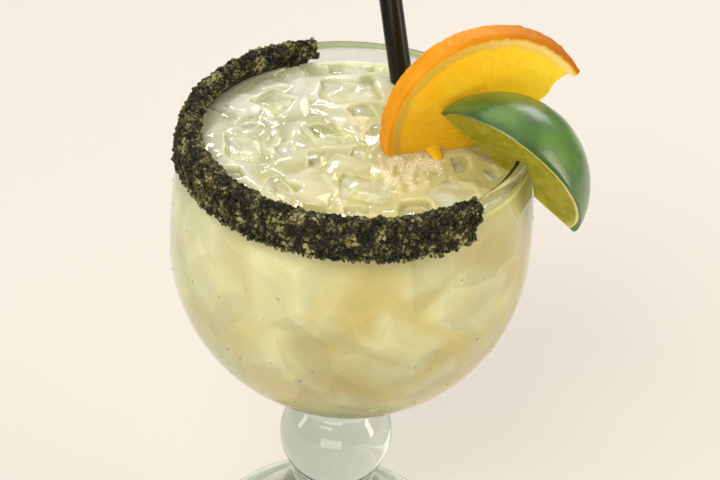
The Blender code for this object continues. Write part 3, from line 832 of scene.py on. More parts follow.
def meltedShape(seed, middle, sides, turns, top, cuts, power):
    # A cube whose faces are rounded and dented by melting, set as its solid is
    shape = bmesh.new()
    bmesh.ops.create_cube(shape, size=2.0)
    bmesh.ops.subdivide_edges(shape, edges=shape.edges, cuts=cuts, use_grid_fill=True)
    half = [side / 2 for side in sides]
    for vertex in shape.verts:
        p = vertex.co
        norm = (abs(p.x) ** power + abs(p.y) ** power + abs(p.z) ** power) ** (1 / power)
        p = p / norm
        p = Vector((p.x * half[0], p.y * half[1], p.z * half[2]))
        dent = 0.92 + 0.15 * wave(p, 8.0, seed) + 0.03 * wave(p, 3.4, seed + 4)
        vertex.co = p * min(1.0, dent) * mm
    turn = Matrix.Rotation(math.radians(turns[0]), 4, "Z") @ Matrix.Rotation(math.radians(turns[1]), 4, "X")
    turn = turn @ Matrix.Rotation(math.radians(turns[2]), 4, "Y")
    bmesh.ops.transform(shape, matrix=turn, verts=shape.verts)
    highest = max(vertex.co.z for vertex in shape.verts)
    bmesh.ops.translate(shape, vec=(middle[0] * mm, middle[1] * mm, top * mm - highest), verts=shape.verts)
    return shape


def pieceFromShapes(name, shapes, material):
    points, faces = [], []
    for shape in shapes:
        start = len(points)
        points += [tuple(vertex.co) for vertex in shape.verts]
        faces += [[start + vertex.index for vertex in face.verts] for face in shape.faces]
        shape.free()
    return makePiece(name, points, faces, material)


ice = iceMaterial()
power, cuts = meltValues["blockPower"], meltValues["blockCuts"]
for number, (nodeName, given) in enumerate(iceValues.items()):
    block = pieceFromShapes("melted_" + nodeName, [meltedShape(number * 7, *given, cuts, power)], ice)
    dress(block, nodeName)
power, cuts = meltValues["fragmentPower"], meltValues["fragmentCuts"]
shapes = [meltedShape(60 + i, *given, cuts, power) for i, given in enumerate(fragmentPlan)]
dress(pieceFromShapes("iceFragments", shapes, ice))
print("ice ready,", len(fragmentPlan), "fragments")


# Scatter tree shared by salt, droplets and froth

def drawNumber(tree, seed, low, high):
    links = {2: low, 3: high, "Seed": seed}
    return addNode(tree, "FunctionNodeRandomValue", {"data_type": "FLOAT"}, links).outputs[1]


def drawVector(tree, seed, low, high):
    links = {0: (low,) * 3, 1: (high,) * 3, "Seed": seed}
    return addNode(tree, "FunctionNodeRandomValue", {"data_type": "FLOAT_VECTOR"}, links).outputs[0]


def scatterTree(name):
    tree = bpy.data.node_groups.new(name, "GeometryNodeTree")
    sockets = {"Geometry": "Geometry", "Shapes": "Collection", "Spacing": "Float", "Density": "Float",
               "Smallest": "Float", "Largest": "Float", "Uneven": "Float", "Tumble": "Float",
               "Seed": "Int", "Finish": "Material"}
    for label, kind in sockets.items():
        tree.interface.new_socket(name=label, in_out="INPUT", socket_type="NodeSocket" + kind)
    tree.interface.new_socket(name="Geometry", in_out="OUTPUT", socket_type="NodeSocketGeometry")
    given = addNode(tree, "NodeGroupInput").outputs
    seed = given["Seed"]
    cover = addNode(tree, "GeometryNodeInputNamedAttribute", {"data_type": "FLOAT", "Name": "cover"})
    points = addNode(tree, "GeometryNodeDistributePointsOnFaces", {"distribute_method": "POISSON"},
                     {"Mesh": given["Geometry"], "Distance Min": given["Spacing"], "Seed": seed,
                      "Density Max": given["Density"], "Density Factor": cover.outputs["Attribute"]})
    toned = addNode(tree, "GeometryNodeStoreNamedAttribute",
                    {"data_type": "FLOAT", "domain": "POINT", "Name": "tone"},
                    {"Geometry": points.outputs["Points"], "Value": drawNumber(tree, seed, 0.0, 1.0)})
    # Each shape is tumbled, sized and made uneven by its own draw
    tumble = addNode(tree, "ShaderNodeVectorMath", {"operation": "SCALE"},
                     {0: drawVector(tree, seed, 0.0, 6.283), "Scale": given["Tumble"]})
    turned = addNode(tree, "FunctionNodeRotateRotation", {"rotation_space": "LOCAL"},
                     {"Rotation": points.outputs["Rotation"], "Rotate By": tumble})
    uneven = addNode(tree, "ShaderNodeVectorMath", {"operation": "MULTIPLY_ADD"},
                     {0: drawVector(tree, seed, -1.0, 0.4), 1: given["Uneven"], 2: (1, 1, 1)})
    size = addNode(tree, "ShaderNodeVectorMath", {"operation": "SCALE"},
                   {0: uneven, "Scale": drawNumber(tree, seed, given["Smallest"], given["Largest"])})
    shapes = addNode(tree, "GeometryNodeCollectionInfo", {"Separate Children": True, "Reset Children": True},
                     {"Collection": given["Shapes"]})
    placed = addNode(tree, "GeometryNodeInstanceOnPoints", {"Pick Instance": True},
                     {"Points": toned, "Instance": shapes, "Rotation": turned, "Scale": size})
    real = addNode(tree, "GeometryNodeRealizeInstances", None, {"Geometry": placed})
    done = addNode(tree, "GeometryNodeSetMaterial", None, {"Geometry": real, "Material": given["Finish"]})
    addNode(tree, "NodeGroupOutput", None, {"Geometry": done})
    return tree


scatter = scatterTree("scatterOnSkin")


def scatterPiece(name, skin, shapes, sizes, settings, material):
    # Runs the tree on a skin, keeps the plain mesh and deletes the skin and the shapes.
    # Settings are the density, how uneven and how tumbled the shapes are, and the seed
    holder = bpy.data.collections.new(name + "Shapes")
    bpy.context.scene.collection.children.link(holder)
    for shape in shapes:
        bpy.context.scene.collection.objects.unlink(shape)
        holder.objects.link(shape)
    modifier = skin.modifiers.new("Scatter", "NODES")
    modifier.node_group = scatter
    values = dict(zip(("Spacing", "Smallest", "Largest"), [size * mm for size in sizes]))
    values.update(zip(("Density", "Uneven", "Tumble", "Seed"), settings))
    values.update(Shapes=holder, Finish=material)
    for item in scatter.interface.items_tree:
        if item.in_out == "INPUT" and item.name in values:
            modifier[item.identifier] = values[item.name]
    graph = bpy.context.evaluated_depsgraph_get()
    mesh = bpy.data.meshes.new_from_object(skin.evaluated_get(graph))
    piece = bpy.data.objects.new(name, mesh)
    bpy.context.scene.collection.objects.link(piece)
    for thing in shapes + [skin]:
        bpy.data.objects.remove(thing)
    bpy.data.collections.remove(holder)
    print(name, len(mesh.polygons), "faces")
    return piece


# Salt crust

saltValues = {
    "start": 108.0, "end": 316.0, "insideZ": 156.8, "outsideZ": 149.6,
    "inside": 0.45, "top": 0.7, "outside": 0.95, "lump": 0.8, "least": 0.1, "endSlant": 6.5,
    "grow": 0.9, "sections": 416,
    "fine": (0.5, 0.32, 0.85), "coarse": (1.3, 0.85, 1.5),    # spacing, smallest, largest
}


def saltPath(offset):
    # Section of the rim that the crust covers, from the inside over the lip to the outside
    z = lipCentre()[1]
    inside = [(bowlInner(h) - offset, h) for h in spread(saltValues["insideZ"], z, 3)][:-1]
    outside = [(bowlOuter(h) + offset, h) for h in spread(z, saltValues["outsideZ"], 14)][1:]
    return inside + lipArc(offset, 180, 0, 10) + outside


def saltThickness(share, azimuth):
    v = saltValues
    if share < 0.3:
        thick = v["inside"] + (v["top"] - v["inside"]) * share / 0.3
    else:
        thick = v["top"] + (v["outside"] - v["top"]) * (share - 0.3) / 0.7
    edge = min(1.0, 0.4 + 6.0 * min(share, 1.0 - share))
    end = min(azimuth - v["start"], v["end"] - azimuth)
    return thick * edge * min(1.0, 0.35 + end / 8.0)


def saltAzimuth(share, along, grow):
    # The crust's ends slant, and both wander
    v = saltValues
    slant = v["endSlant"] * share ** 2
    first = v["start"] + slant * 0.5 + 1.2 * wave((share * 9, 0, 0), 2.5, 3) - grow
    last = v["end"] - slant + 1.2 * wave((share * 9, 5, 0), 2.5, 4) + grow
    return first + (last - first) * along


def saltFoot(azimuth):
    # How far the lower outer edge strays from its height
    a = math.radians(azimuth)
    place = (56 * math.cos(a), 56 * math.sin(a), 0)
    return 0.7 * wave(place, 3.2, 8) + 0.6 * wave(place, 11.0, 6)


def makeSaltSkins(material):
    # The crust's core is closed; its outer sheet alone carries the crystals
    v = saltValues
    face = saltPath(0.0)
    back = saltPath(-0.15)
    last = len(face) - 1
    azimuths = spread(0.0, 1.0, v["sections"])
    core, sheet, cover = [], [], []
    for share in azimuths:
        for i, (r, z) in enumerate(face):
            down = i / last
            before, after = Vector(face[max(0, i - 1)]), Vector(face[min(last, i + 1)])
            along = (after - before).normalized()
            for grow in (0.0, v["grow"]):
                azimuth = saltAzimuth(down, share, grow)
                a = math.radians(azimuth)
                direction = Vector((math.cos(a), math.sin(a), 0.0))
                out = direction * -along.y + Vector((0.0, 0.0, along.x))
                drop = smoothStep(down, 0.55, 1.0) * (saltFoot(azimuth) - 0.8 + grow)
                low = z - drop
                point = direction * (bowlOuter(low) if down > 0.8 else r) + Vector((0.0, 0.0, low))
                lump = v["lump"] * (wave(point, 2.6) + 0.7 * wave(point, 1.2, 5))
                thick = max(v["least"], saltThickness(down, azimuth) + lump)
                if grow:
                    sheet.append((point + out * (thick * 0.9 + 0.1)) * mm)
                    loose = smoothStep(min(1 - down, share * 20, (1 - share) * 20), 0.0, 0.08)
                    cover.append(0.25 + 0.75 * loose)
                else:
                    core.append((point + out * thick) * mm)
        for i, (r, z) in enumerate(reversed(back)):
            down = 1 - i / last
            azimuth = saltAzimuth(down, share, 0.0)
            a = math.radians(azimuth)
            low = z - smoothStep(down, 0.55, 1.0) * (saltFoot(azimuth) - 0.8)
            core.append(Vector((math.cos(a) * r, math.sin(a) * r, low)) * mm)
    size = len(face) + len(back)
    faces = gridFaces(len(azimuths), size, closed=True)
    faces.append(tuple(range(size)))
    faces.append(tuple(reversed(range((len(azimuths) - 1) * size, len(azimuths) * size))))
    crust = makePiece("saltCrust", core, faces, material)
    fixNormals(crust)
    skin = makePiece("saltSkin", sheet, gridFaces(len(azimuths), len(face)))
    addAttribute(skin, "cover", cover)
    return crust, skin


def makeCrystal(name, seed):
    # A chipped block, one unit across
    rng = random.Random(seed)
    corners = []
    for x in (-0.5, 0.5):
        for y in (-0.5, 0.5):
            for z in (-0.5, 0.5):
                corners.append([c * rng.uniform(0.75, 1.1) for c in (x, y, z)])
    faces = [(0, 1, 3, 2), (4, 6, 7, 5), (0, 4, 5, 1), (2, 3, 7, 6), (0, 2, 6, 4), (1, 5, 7, 3)]
    return makePiece(name, corners, faces, smooth=False)


def saltMaterial():
    # Coarse black salt: near-black olive grains with worn, half-clear ones among them that
    # let the pale drink through, broken faces that catch small hard glints
    material, tree = newMaterial("blackSalt")
    place = objectPlace(tree)
    patch = addMath(tree, "MULTIPLY_ADD", addNoise(tree, place, 230.0, 3.0), 2.0, -0.83)
    total = addMath(tree, "MULTIPLY_ADD", readAttribute(tree, "tone"), 0.65, patch)
    ramp = addRamp(tree, total, [(0.0, "#0c0b05"), (0.4, "#1c1b0e"), (0.64, "#3a3818"), (0.84, "#67633a"),
                                 (1.0, "#9c9666")])
    grit = addNoise(tree, place, 2600.0, 1.0)
    finishMaterial(tree, {"Base Color": ramp, "Roughness": 0.5, "IOR": 1.5, "Specular IOR Level": 0.3,
                          "Normal": addBump(tree, grit, 0.4, 0.0001)})
    return material


salt = saltMaterial()
crust, skin = makeSaltSkins(salt)
coarseSkin = skin.copy()
coarseSkin.data = skin.data.copy()
bpy.context.scene.collection.objects.link(coarseSkin)
crystals = scatterPiece("saltCrystals", skin, [makeCrystal(f"crystal{i}", i) for i in range(5)],
                        saltValues["fine"], (6e6, 0.45, 1.0, 4), salt)
coarse = scatterPiece("coarseSaltCrystals", coarseSkin, [makeCrystal(f"lump{i}", 20 + i) for i in range(5)],
                      saltValues["coarse"], (6e5, 0.4, 1.0, 8), salt)
for piece in (crust, crystals, coarse):
    dress(piece, "salt_rim")
print("salt ready")


# Straw

strawValues = {
    "radius": 3.6, "wall": 0.5, "length": 195.0, "at": (10.9, 40.7, 163.0),
    "lean": (-0.21, 0.20), "footZ": 92.0, "steps": 48,
}


def plasticMaterial():
    # Extruded black polypropylene: smooth and glossy, with faint lines drawn along its length
    material, tree = newMaterial("blackPolypropylene")
    drawn = addNode(tree, "ShaderNodeMapping", {"Scale": (1.0, 1.0, 0.03)}, {0: objectPlace(tree)})
    rough = addRange(tree, addNoise(tree, drawn, 2200.0), (0.0, 1.0), (0.2, 0.42))
    finishMaterial(tree, {"Base Color": "#070708", "IOR": 1.49, "Specular IOR Level": 0.32,
                          "Roughness": rough})
    return material


def makeStraw(values, material):
    outer, bore, length = values["radius"], values["radius"] - values["wall"], values["length"]
    lip = values["wall"] / 2
    middle = outer - lip
    lower = [onCircle(lip, degrees) for degrees in spread(180, 360, 6)]
    upper = [onCircle(lip, degrees) for degrees in spread(0, 180, 6)]
    bottom = [(middle + across, lip + up) for across, up in lower]
    top = [(middle + across, length - lip + up) for across, up in upper]
    profile = bottom + [(outer, z) for z in spread(0, length, 30)[1:-1]] + top
    profile += [(bore, z) for z in spread(length, 0, 30)[1:-1]]
    points, faces = turnProfile(profile + profile[:1], values["steps"])
    rise = Vector((values["lean"][0], values["lean"][1], 1.0)).normalized()
    at = Vector(values["at"])
    at = at + rise * ((values["footZ"] - at.z) / rise.z)
    matrix = Matrix.Translation(at * mm) @ rise.to_track_quat("Z", "Y").to_matrix().to_4x4()
    straw = makePiece("drinkingStraw", [matrix @ Vector(p) for p in points], faces, material)
    fixNormals(straw)
    return straw


straw = makeStraw(strawValues, plasticMaterial())
dress(straw, "straw")
print("straw ready")


# Orange half wheel

orangeValues = {
    "radius": 33.4, "thick": 7.5, "at": (39.8, 7.1, 159.0), "turn": 20.2, "lean": 1.6, "tip": 34.2,
    "cut": -2.0, "segments": 11, "zest": 1.7, "pith": 2.9, "segmentTurn": 0.25,
    "rings": 64, "steps": 280, "rounding": 1.3, "peelRows": 14,
    "sunkFlesh": 0.4, "sacDepth": 0.14, "notch": 2.3, "notchAt": (20.0, 25.0, 29.6, 30.6),
    "tongueAt": (-17.2, 6.0), "tongueTurn": 34.2, "tongueSides": (2.5, 1.4), "tongueLift": 6.4,
}


def orangeMatrix():
    v = orangeValues
    turn = Matrix.Rotation(math.radians(v["turn"]), 4, "Z")
    stand = Matrix.Rotation(math.radians(90 - v["lean"]), 4, "X")
    tip = Matrix.Rotation(math.radians(v["tip"]), 4, "Z")
    return Matrix.Translation(Vector(v["at"]) * mm) @ turn @ stand @ tip


def orangeFace(x, y, seed):
    # Relief of a cut face, and where it is zest, pith, membrane or flesh
    v = orangeValues
    r = math.hypot(x, y)
    a = math.atan2(y, x)
    turns = a / math.tau * v["segments"] + v["segmentTurn"]
    off = abs(turns - round(turns)) * math.tau / v["segments"] * r    # millimetres to the membrane
    fleshR = v["radius"] - v["zest"] - v["pith"] + 0.7 * wave((x, y, seed), 6.0)
    corner = 0.5 * smoothStep(2.4 - off, 0.0, 2.4)                  # segments have rounded corners
    membrane = 1.0 - smoothStep(off, 0.15, 0.55)
    core = 1.0 - smoothStep(r, 1.2, 2.4)
    pith = max(smoothStep(r + corner, fleshR - 1.1, fleshR + 1.3), membrane * 0.1, core)
    zestR = v["radius"] - v["zest"]
    zest = smoothStep(r + 0.5 * wave((x, y, seed), 2.5, 4), zestR - 1.1, zestR + 0.3)
    # Juice sacs: long cells that point to the middle of the wheel
    cell = noise.voronoi(Vector((a * 9.0, r / 7.5, seed)), distance_metric="DISTANCE")[0]
    sac = min(1.0, cell[1] - cell[0])
    sunk = v["sunkFlesh"] - v["sacDepth"] * min(1.0, sac * 1.6) + 0.15 * wave((x, y, seed), 3.0, 2)
    lift = 0.1 * wave((x, y, seed), 1.6, 7) * pith - (1.0 - pith) * sunk
    if seed < 4:
        # A tongue of pulp pushed forward on the froth
        cosine, sine = onCircle(1.0, v["tongueTurn"])
        aside, above = x - v["tongueAt"][0], y - v["tongueAt"][1]
        across, up = aside * cosine - above * sine, aside * sine + above * cosine
        width, height = v["tongueSides"]
        lift += v["tongueLift"] * smoothStep(1.0 - math.hypot(across / width, up / height), 0.0, 0.6)
    return lift, zest, pith * (1 - zest), sac


def facePlace(r, k):
    # Place k of a ring on a cut face, counted from the left end of the cut to the right one
    v = orangeValues
    if r <= -v["cut"]:
        # Inside the cut's distance the ring is a flattened fan that stays above the cut
        a = math.pi * k / v["steps"]
        return r * math.cos(math.pi - a), max(v["cut"] * 0.98, -r * 0.9 + r * 1.9 * math.sin(a))
    # The flesh at the right is cut a little higher than the peel's tip
    start, full, fading, end = v["notchAt"]
    notch = v["notch"] * smoothStep(r, start, full) * (1 - smoothStep(r, fading, end))
    left, right = math.asin(v["cut"] / r), math.asin((v["cut"] + notch) / r)
    a = (math.pi - left) + (right + left - math.pi) * k / v["steps"]
    return r * math.cos(a), r * math.sin(a)


def peelPlace(reach, z, k):
    # Place k of a row of the peel, with its bumps and pores
    v = orangeValues
    lowest = math.asin(v["cut"] / v["radius"])
    a = (math.pi - lowest) + (2 * lowest - math.pi) * k / v["steps"]
    x, y = v["radius"] * math.cos(a), v["radius"] * math.sin(a)
    pore = noise.voronoi(Vector((x, y, z)) / 1.9)[0][0]
    bumps = 0.34 * wave((x, y, z), 4.2, 5) + 0.2 * wave((x, y, z), 1.8, 3) + 0.3 * min(0.8, pore) - 0.5
    r = v["radius"] - v["rounding"] + reach + bumps * smoothStep(reach, 0.0, 1.0)
    return r * math.cos(a), r * math.sin(a)


def peelSection():
    # Rounded edges and the outside between them: reach past the flat face, and depth
    v = orangeValues
    c = v["rounding"]
    turned = [onCircle(c, 90 - degrees) for degrees in spread(15, 75, 4)]
    section = [(out, up - c) for out, up in turned]
    section += [(c, z) for z in spread(-c, c - v["thick"], v["peelRows"])]
    return section + [(reach, -v["thick"] - z) for reach, z in reversed(section[:5])]


def makeOrange(material):
    # Two cut faces and a peel, each a polar sheet whose rows run between the ends of the cut
    v = orangeValues
    points, kinds, sheets, faces = [], [], [], []

    def add(x, y, z, zest, pith, sac):
        points.append(Vector((x, y, z)))
        kinds.append((zest, pith, sac))
        return len(points) - 1

    columns = range(v["steps"] + 1)
    radii = [(v["radius"] - v["rounding"]) * (i / v["rings"]) ** 0.9 for i in range(1, v["rings"] + 1)]
    for side in (0, 1):
        sheet = []
        for r in radii:
            row = []
            for x, y in [facePlace(r, k) for k in columns]:
                lift, zest, pith, sac = orangeFace(x, y, 3.0 + side * 11)
                row.append(add(x, y, -v["thick"] - lift if side else lift, zest, pith, sac))
            sheet.append(row)
        for inner, outer in zip(sheet, sheet[1:]):
            faces += joinRows(inner, outer)
        faces.append(tuple(sheet[0]))
        sheets.append(sheet)
    edge = [[add(*peelPlace(reach, z, k), z, 1.0, 0.0, 0.5) for k in columns] for reach, z in peelSection()]
    for first, second in zip([sheets[0][-1]] + edge, edge + [sheets[1][-1]]):
        faces += joinRows(first, second)
    # The cut: front and back sheets' ends are joined across the slice
    for end in (0, -1):
        front, back = [[row[end] for row in sheet] for sheet in sheets]
        faces += joinRows(front, back)
        faces.append(tuple([front[-1]] + [row[end] for row in edge] + [back[-1]]))
    matrix = orangeMatrix()
    orange = makePiece("orangeHalfWheel", [matrix @ (p * mm) for p in points], faces, material)
    for name, values in zip(("zest", "pith", "sac"), zip(*kinds)):
        addAttribute(orange, name, values)
    shape = bmesh.new()
    shape.from_mesh(orange.data)
    bmesh.ops.holes_fill(shape, edges=[edge for edge in shape.edges if edge.is_boundary])
    bmesh.ops.recalc_face_normals(shape, faces=shape.faces)
    shape.to_mesh(orange.data)
    shape.free()
    return orange


def orangeMaterial():
    # Fresh orange, wet from the knife: juicy translucent sacs, spongy pale pith and a bright
    # oily zest whose glands make it bumpy and give it small highlights
    material, tree = newMaterial("cutOrange")
    place = objectPlace(tree)
    zest, pith, sac = [readAttribute(tree, name) for name in ("zest", "pith", "sac")]
    mottle = addNoise(tree, place, 120.0, 3.0)
    # Share from the sunk left end of the slice to its raised right end
    raisedEnd = addRange(tree, splitPlace(tree, place)["X"], (0.024, 0.06))
    # The flesh is painted bright, a painted glow for light shining through the slice from behind
    flesh = addRamp(tree, addMath(tree, "MULTIPLY_ADD", sac, 0.4, mottle),
                    [(0.3, "#ffd23c"), (0.5, "#ffc828"), (0.8, "#ffc022"), (1.0, "#ffb81c")])
    # The pith is cream at the top of the slice and olive where it meets the drink
    pithTone = mixColours(tree, raisedEnd, "#dcb648", "#f6dc84")
    # Towards the raised end the flesh is painted a brighter yellow still
    cut = mixColours(tree, pith, mixColours(tree, raisedEnd, flesh, "#ffdf30"), pithTone)
    skinTone = addRamp(tree, mottle, [(0.3, "#e5920e"), (0.55, "#ee9f18"), (0.8, "#f5af2c")])
    # Towards the raised end, the top of the peel, the zest is painted darker: painted shade that holds back
    # the lamps' light there
    colour = mixColours(tree, zest, cut, mixColours(tree, raisedEnd, skinTone, "#bb6c06"))
    relief = mixValues(tree, zest, addNoise(tree, place, 700.0, 3.0), addCells(tree, place, 620.0))
    finishMaterial(tree, {
        "Base Color": colour, "Roughness": addRange(tree, zest, (0.0, 1.0), (0.22, 0.5)),
        "IOR": 1.38, "Specular IOR Level": 0.3, "Subsurface Weight": 0.3,
        "Subsurface Radius": (1.0, 0.6, 0.15), "Subsurface Scale": 0.003,
        "Normal": addBump(tree, relief, 0.45, 0.0004)})
    return material


orange = makeOrange(orangeMaterial())
dress(orange, "orange_slice")
print("orange ready")


# Lime wedge

limeValues = {
    "halfLength": 26.2, "radius": 23.6, "at": (45.9, -5.6, 152.4), "turn": -10.5, "dip": 37.5,
    "nearCut": 36.0, "farCut": -33.0, "tip": 1.7, "clearance": 0.3, "peel": 1.5,
    "columns": 72, "cutRows": 25, "peelRows": 40, "slitLowZ": 135.0, "sharpAngle": 38,
}


def limeMatrix():
    v = limeValues
    turn = Matrix.Rotation(math.radians(v["turn"]), 4, "Z")
    return Matrix.Translation(Vector(v["at"]) * mm) @ turn @ Matrix.Rotation(math.radians(v["dip"]), 4, "Y")


def makeLime(material):
    # Rows run along the core and round the section: near cut, peel, far cut
    v = limeValues
    points, rows = [], []
    near, far = math.radians(v["nearCut"]), math.radians(v["farCut"])
    for i in range(1, v["columns"]):
        t = -math.cos(math.pi * i / v["columns"])
        x = v["halfLength"] * t + math.copysign(v["tip"] * abs(t) ** 8, t)
        radius = v["radius"] * math.sqrt(1 - t * t)
        # Each place: angle from straight up towards the near side, radius, lift off the cut face
        places = []
        for j in range(v["cutRows"]):
            r = radius * j / v["cutRows"]
            places.append((near, r, limeRelief(x, r, radius, 1.0)))
        for j in range(v["peelRows"] + 1):
            share = j / v["peelRows"]
            a = near + (far - near) * share
            bumps = 0.12 * wave((x, a * 20, 0), 5.0, 2) * min(1.0, radius / 6)
            places.append((a, radius - 0.35 * abs(2 * share - 1) ** 30 + bumps, 0.0))
        for j in range(v["cutRows"] - 1, 0, -1):
            r = radius * j / v["cutRows"]
            places.append((far, r, -limeRelief(x, r, radius, 2.0)))
        rows.append(range(len(points), len(points) + len(places)))
        for angle, r, lift in places:
            side = Vector((0.0, -math.cos(angle), -math.sin(angle)))
            points.append(Vector((x, -math.sin(angle) * r, math.cos(angle) * r)) + side * lift)
    faces = []
    for first, second in zip(rows, rows[1:]):
        for k in range(len(first)):
            j = (k + 1) % len(first)
            faces.append((first[k], second[k], second[j], first[j]))
    faces.append(tuple(rows[0]))
    faces.append(tuple(reversed(rows[-1])))
    lime = makePiece("limeWedge", [p * mm for p in points], faces, material)
    fixNormals(lime)
    lime.data.transform(limeMatrix())
    cutSlit(lime)
    return lime


def limeRelief(x, r, radius, seed):
    # Flesh sinks a little below pith, and its sacs fan out from the core
    v = limeValues
    pith = smoothStep(r, radius - v["peel"] - 0.6, radius - v["peel"] + 0.2)
    fan = x + 34.0
    cell = noise.voronoi(Vector((math.atan2(r, fan) * 11.0, math.hypot(r, fan) / 5.0, seed)))[0]
    sac = min(1.0, cell[1] - cell[0])
    edge = min(1.0, r / 2.0)
    return -(1 - pith) * edge * (0.45 - 0.35 * sac)


def cutSlit(lime):
    # The wall of the goblet, with clearance, is taken out of the wedge
    low, gap = limeValues["slitLowZ"], limeValues["clearance"]
    inner = [(bowlInner(z) - gap, z) for z in spread(low, lipCentre()[1], 12)]
    outer = [(bowlOuter(z) + gap, z) for z in spread(lipCentre()[1], low, 12)]
    profile = inner + lipArc(gap, 180, 0, 12)[1:-1] + outer
    cutter = makePiece("slitCutter", *turnProfile(profile + profile[:1], 120))
    fixNormals(cutter)
    slit = lime.modifiers.new("Slit", "BOOLEAN")
    slit.operation = "DIFFERENCE"
    slit.object = cutter
    applyModifiers(lime)
    bpy.data.objects.remove(cutter)
    lime.data.set_sharp_from_angle(angle=math.radians(limeValues["sharpAngle"]))


def limeMaterial():
    # Fresh lime: waxy mottled green peel with fine pores, a pale line of pith and wet
    # yellow-green flesh whose sacs show as faint rays
    material, tree = newMaterial("cutLime")
    place = objectPlace(tree)
    # A rotation in Mapping comes before its move, so the move is the inverse matrix's own
    back = limeMatrix().inverted()
    local = addNode(tree, "ShaderNodeMapping",
                    {"Rotation": tuple(back.to_euler()), "Location": tuple(back.translation)}, {0: place})
    axis = splitPlace(tree, local)
    # Depth under the peel, which is a ball stretched along the core
    along = addMath(tree, "DIVIDE", axis["X"], limeValues["halfLength"] * mm)
    squared = addMath(tree, "MULTIPLY", along, along)
    rest = addMath(tree, "SUBTRACT", 1.0, squared)
    rest.use_clamp = True
    full = addMath(tree, "MULTIPLY", addMath(tree, "SQRT", rest), limeValues["radius"] * mm)
    flat = addNode(tree, "ShaderNodeCombineXYZ", None, {"Y": axis["Y"], "Z": axis["Z"]})
    reach = addNode(tree, "ShaderNodeVectorMath", {"operation": "LENGTH"}, {0: flat}).outputs["Value"]
    depth = addRange(tree, addMath(tree, "SUBTRACT", full, reach), (0.0, 0.003))
    peel = addRamp(tree, addNoise(tree, place, 62.0, 5.0, Roughness=0.6),
                   [(0.3, "#2f541d"), (0.45, "#43702a"), (0.62, "#5d8738"), (0.8, "#7da04c")])
    flesh = addRamp(tree, addNoise(tree, local, 260.0, 3.0, Distortion=0.8),
                    [(0.3, "#8d8a16"), (0.5, "#9c951e"), (0.75, "#b3a93a")])
    # The pith line widens towards the lower tip
    widens = addRange(tree, axis["X"], (-0.026, 0.026), (2.2, 0.5))
    layers = addRamp(tree, addMath(tree, "MULTIPLY", depth, widens),
                     [(0.0, "#ffffff"), (0.42, "#ffffff"), (0.6, "#000000")])
    isPeel = addRange(tree, depth, (0.1, 0.16), (1.0, 0.0))
    # Painted shade darkens the peel along the near cut, and a painted reflection of the orange turns it olive
    # along the far one
    angle = addMath(tree, "ARCTAN2", addMath(tree, "MULTIPLY", axis["Y"], -1.0), axis["Z"])
    nearCutShade = addRange(tree, angle, (0.4, 0.6), (0.0, 0.65))
    farCutOrangeReflection = addRange(tree, angle, (-0.4, -0.55), (0.0, 0.6))
    olive = mixColours(tree, farCutOrangeReflection, mixColours(tree, nearCutShade, peel, "#2c4a1a"), "#6e6a26")
    cut = mixColours(tree, layers, flesh, "#e0e08e")
    finishMaterial(tree, {
        "Base Color": mixColours(tree, isPeel, cut, olive), "Roughness": 0.36,
        "IOR": 1.42, "Specular IOR Level": 0.35,
        "Coat Weight": addRange(tree, isPeel, (0.0, 1.0), (0.0, 0.9)), "Coat Roughness": 0.26,
        "Subsurface Weight": 0.2, "Subsurface Radius": (0.6, 1.0, 0.2), "Subsurface Scale": 0.002,
        "Normal": addBump(tree, addCells(tree, place, 800.0), 0.25, 0.0003)})
    return material


lime = makeLime(limeMaterial())
dress(lime, "lime_wedge")
print("lime ready")


# Droplets on the outside and froth on the drink

dropValues = {"sizes": (4.0, 0.22, 0.62), "low": 68.0, "high": 146.0}    # spacing, smallest, largest


def makeCap(name, flatness, sunk, rings, steps):
    # A low dome, one unit in radius, whose foot is sunk under the skin that it stands on
    profile = [(0.0, flatness)]
    for a in spread(90 / rings, 90, rings - 1):
        profile.append((math.sin(math.radians(a)), flatness * math.cos(math.radians(a))))
    profile += [(0.85, -sunk), (0.0, -sunk)]
    points, faces = turnProfile(profile, steps)
    cap = makePiece(name, [Vector(p) / mm for p in points], faces)
    fixNormals(cap)
    return cap


def waterMaterial():
    # Condensed water: small clear lenses with a bright edge
    material, tree = newMaterial("condensedWater")
    film = addNoise(tree, objectPlace(tree), 900.0)
    shader = addShader(tree, {"Base Color": "#eef2ea", "IOR": 1.33, "Transmission Weight": 1.0,
                              "Roughness": addRange(tree, film, (0.0, 1.0), (0.0, 0.06))})
    letLampsThrough(tree, shader, "#e6eae0")
    return material


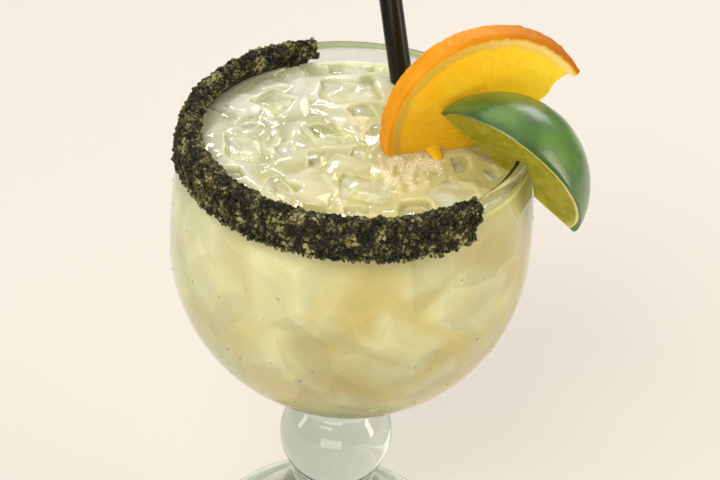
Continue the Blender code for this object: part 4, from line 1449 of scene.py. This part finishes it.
def makeDroplets(values):
    profile = [(bowlOuter(z), z) for z in spread(values["high"], values["low"], 40)]
    skin = makePiece("dropSkin", *turnProfile(profile, 96))
    cover = [0.25 + 0.75 * smoothStep(wave(vertex.co / mm, 16.0, 4), -0.1, 0.35)
             for vertex in skin.data.vertices]
    addAttribute(skin, "cover", cover)
    return scatterPiece("condensation", skin, [makeCap("dropCap", 0.5, 0.12, 6, 12)],
                        values["sizes"], (3e4, 0.45, 0.0, 2), waterMaterial())


dress(makeDroplets(dropValues))
print("droplets ready")


def frothMaterial():
    # Foam shaken into the drink: thin wet bubble skins, cream coloured where they crowd
    material, tree = newMaterial("cocktailFroth")
    ramp = addRamp(tree, readAttribute(tree, "tone"), [(0.0, "#e6dcb2"), (0.5, "#f5ecce"), (1.0, "#fffbee")])
    shader = addShader(tree, {"Base Color": ramp, "Roughness": 0.08, "IOR": 1.33,
                              "Transmission Weight": 0.35})
    letLampsThrough(tree, shader, "#f0ead0")
    return material


def makeFroth(values):
    # Bubbles gather where the foam is, and along the wall
    line = np.linspace(-values["reach"], values["reach"], values["side"] + 1)
    x, y = [plane.ravel() for plane in np.meshgrid(line, line)]
    footprint = blockFootprint(x, y)
    wallGap = bowlInner(drinkValues["level"]) - np.hypot(x, y)
    rim = 0.5 * np.exp(-np.abs(wallGap - 1.2) / 0.7) * (0.55 + 0.9 * waves(x, y, 5.0, 12))
    bare = np.array([smoothStep(0.35 - deep, 0.0, 0.3) for deep in footprint[0]])
    cover = np.clip(foamShare(x, y) + rim, 0.0, 1.0) * bare * (wallGap > 0.8)
    z = drinkValues["level"] + surfaceLift(x, y, surfaceHeights(x, y), footprint, wallGap)[0]
    grid = np.stack((x, y, z), axis=1)
    faces = gridFaces(values["side"] + 1, values["side"] + 1)
    skin = makePiece("frothSkin", grid * mm, faces)
    addAttribute(skin, "cover", cover)
    return scatterPiece("froth", skin, [makeCap("bubble", 0.8, 0.25, 3, 7)],
                        values["sizes"], (4e6, 0.1, 0.0, 9), frothMaterial())


dress(makeFroth(frothValues))
print("froth ready")
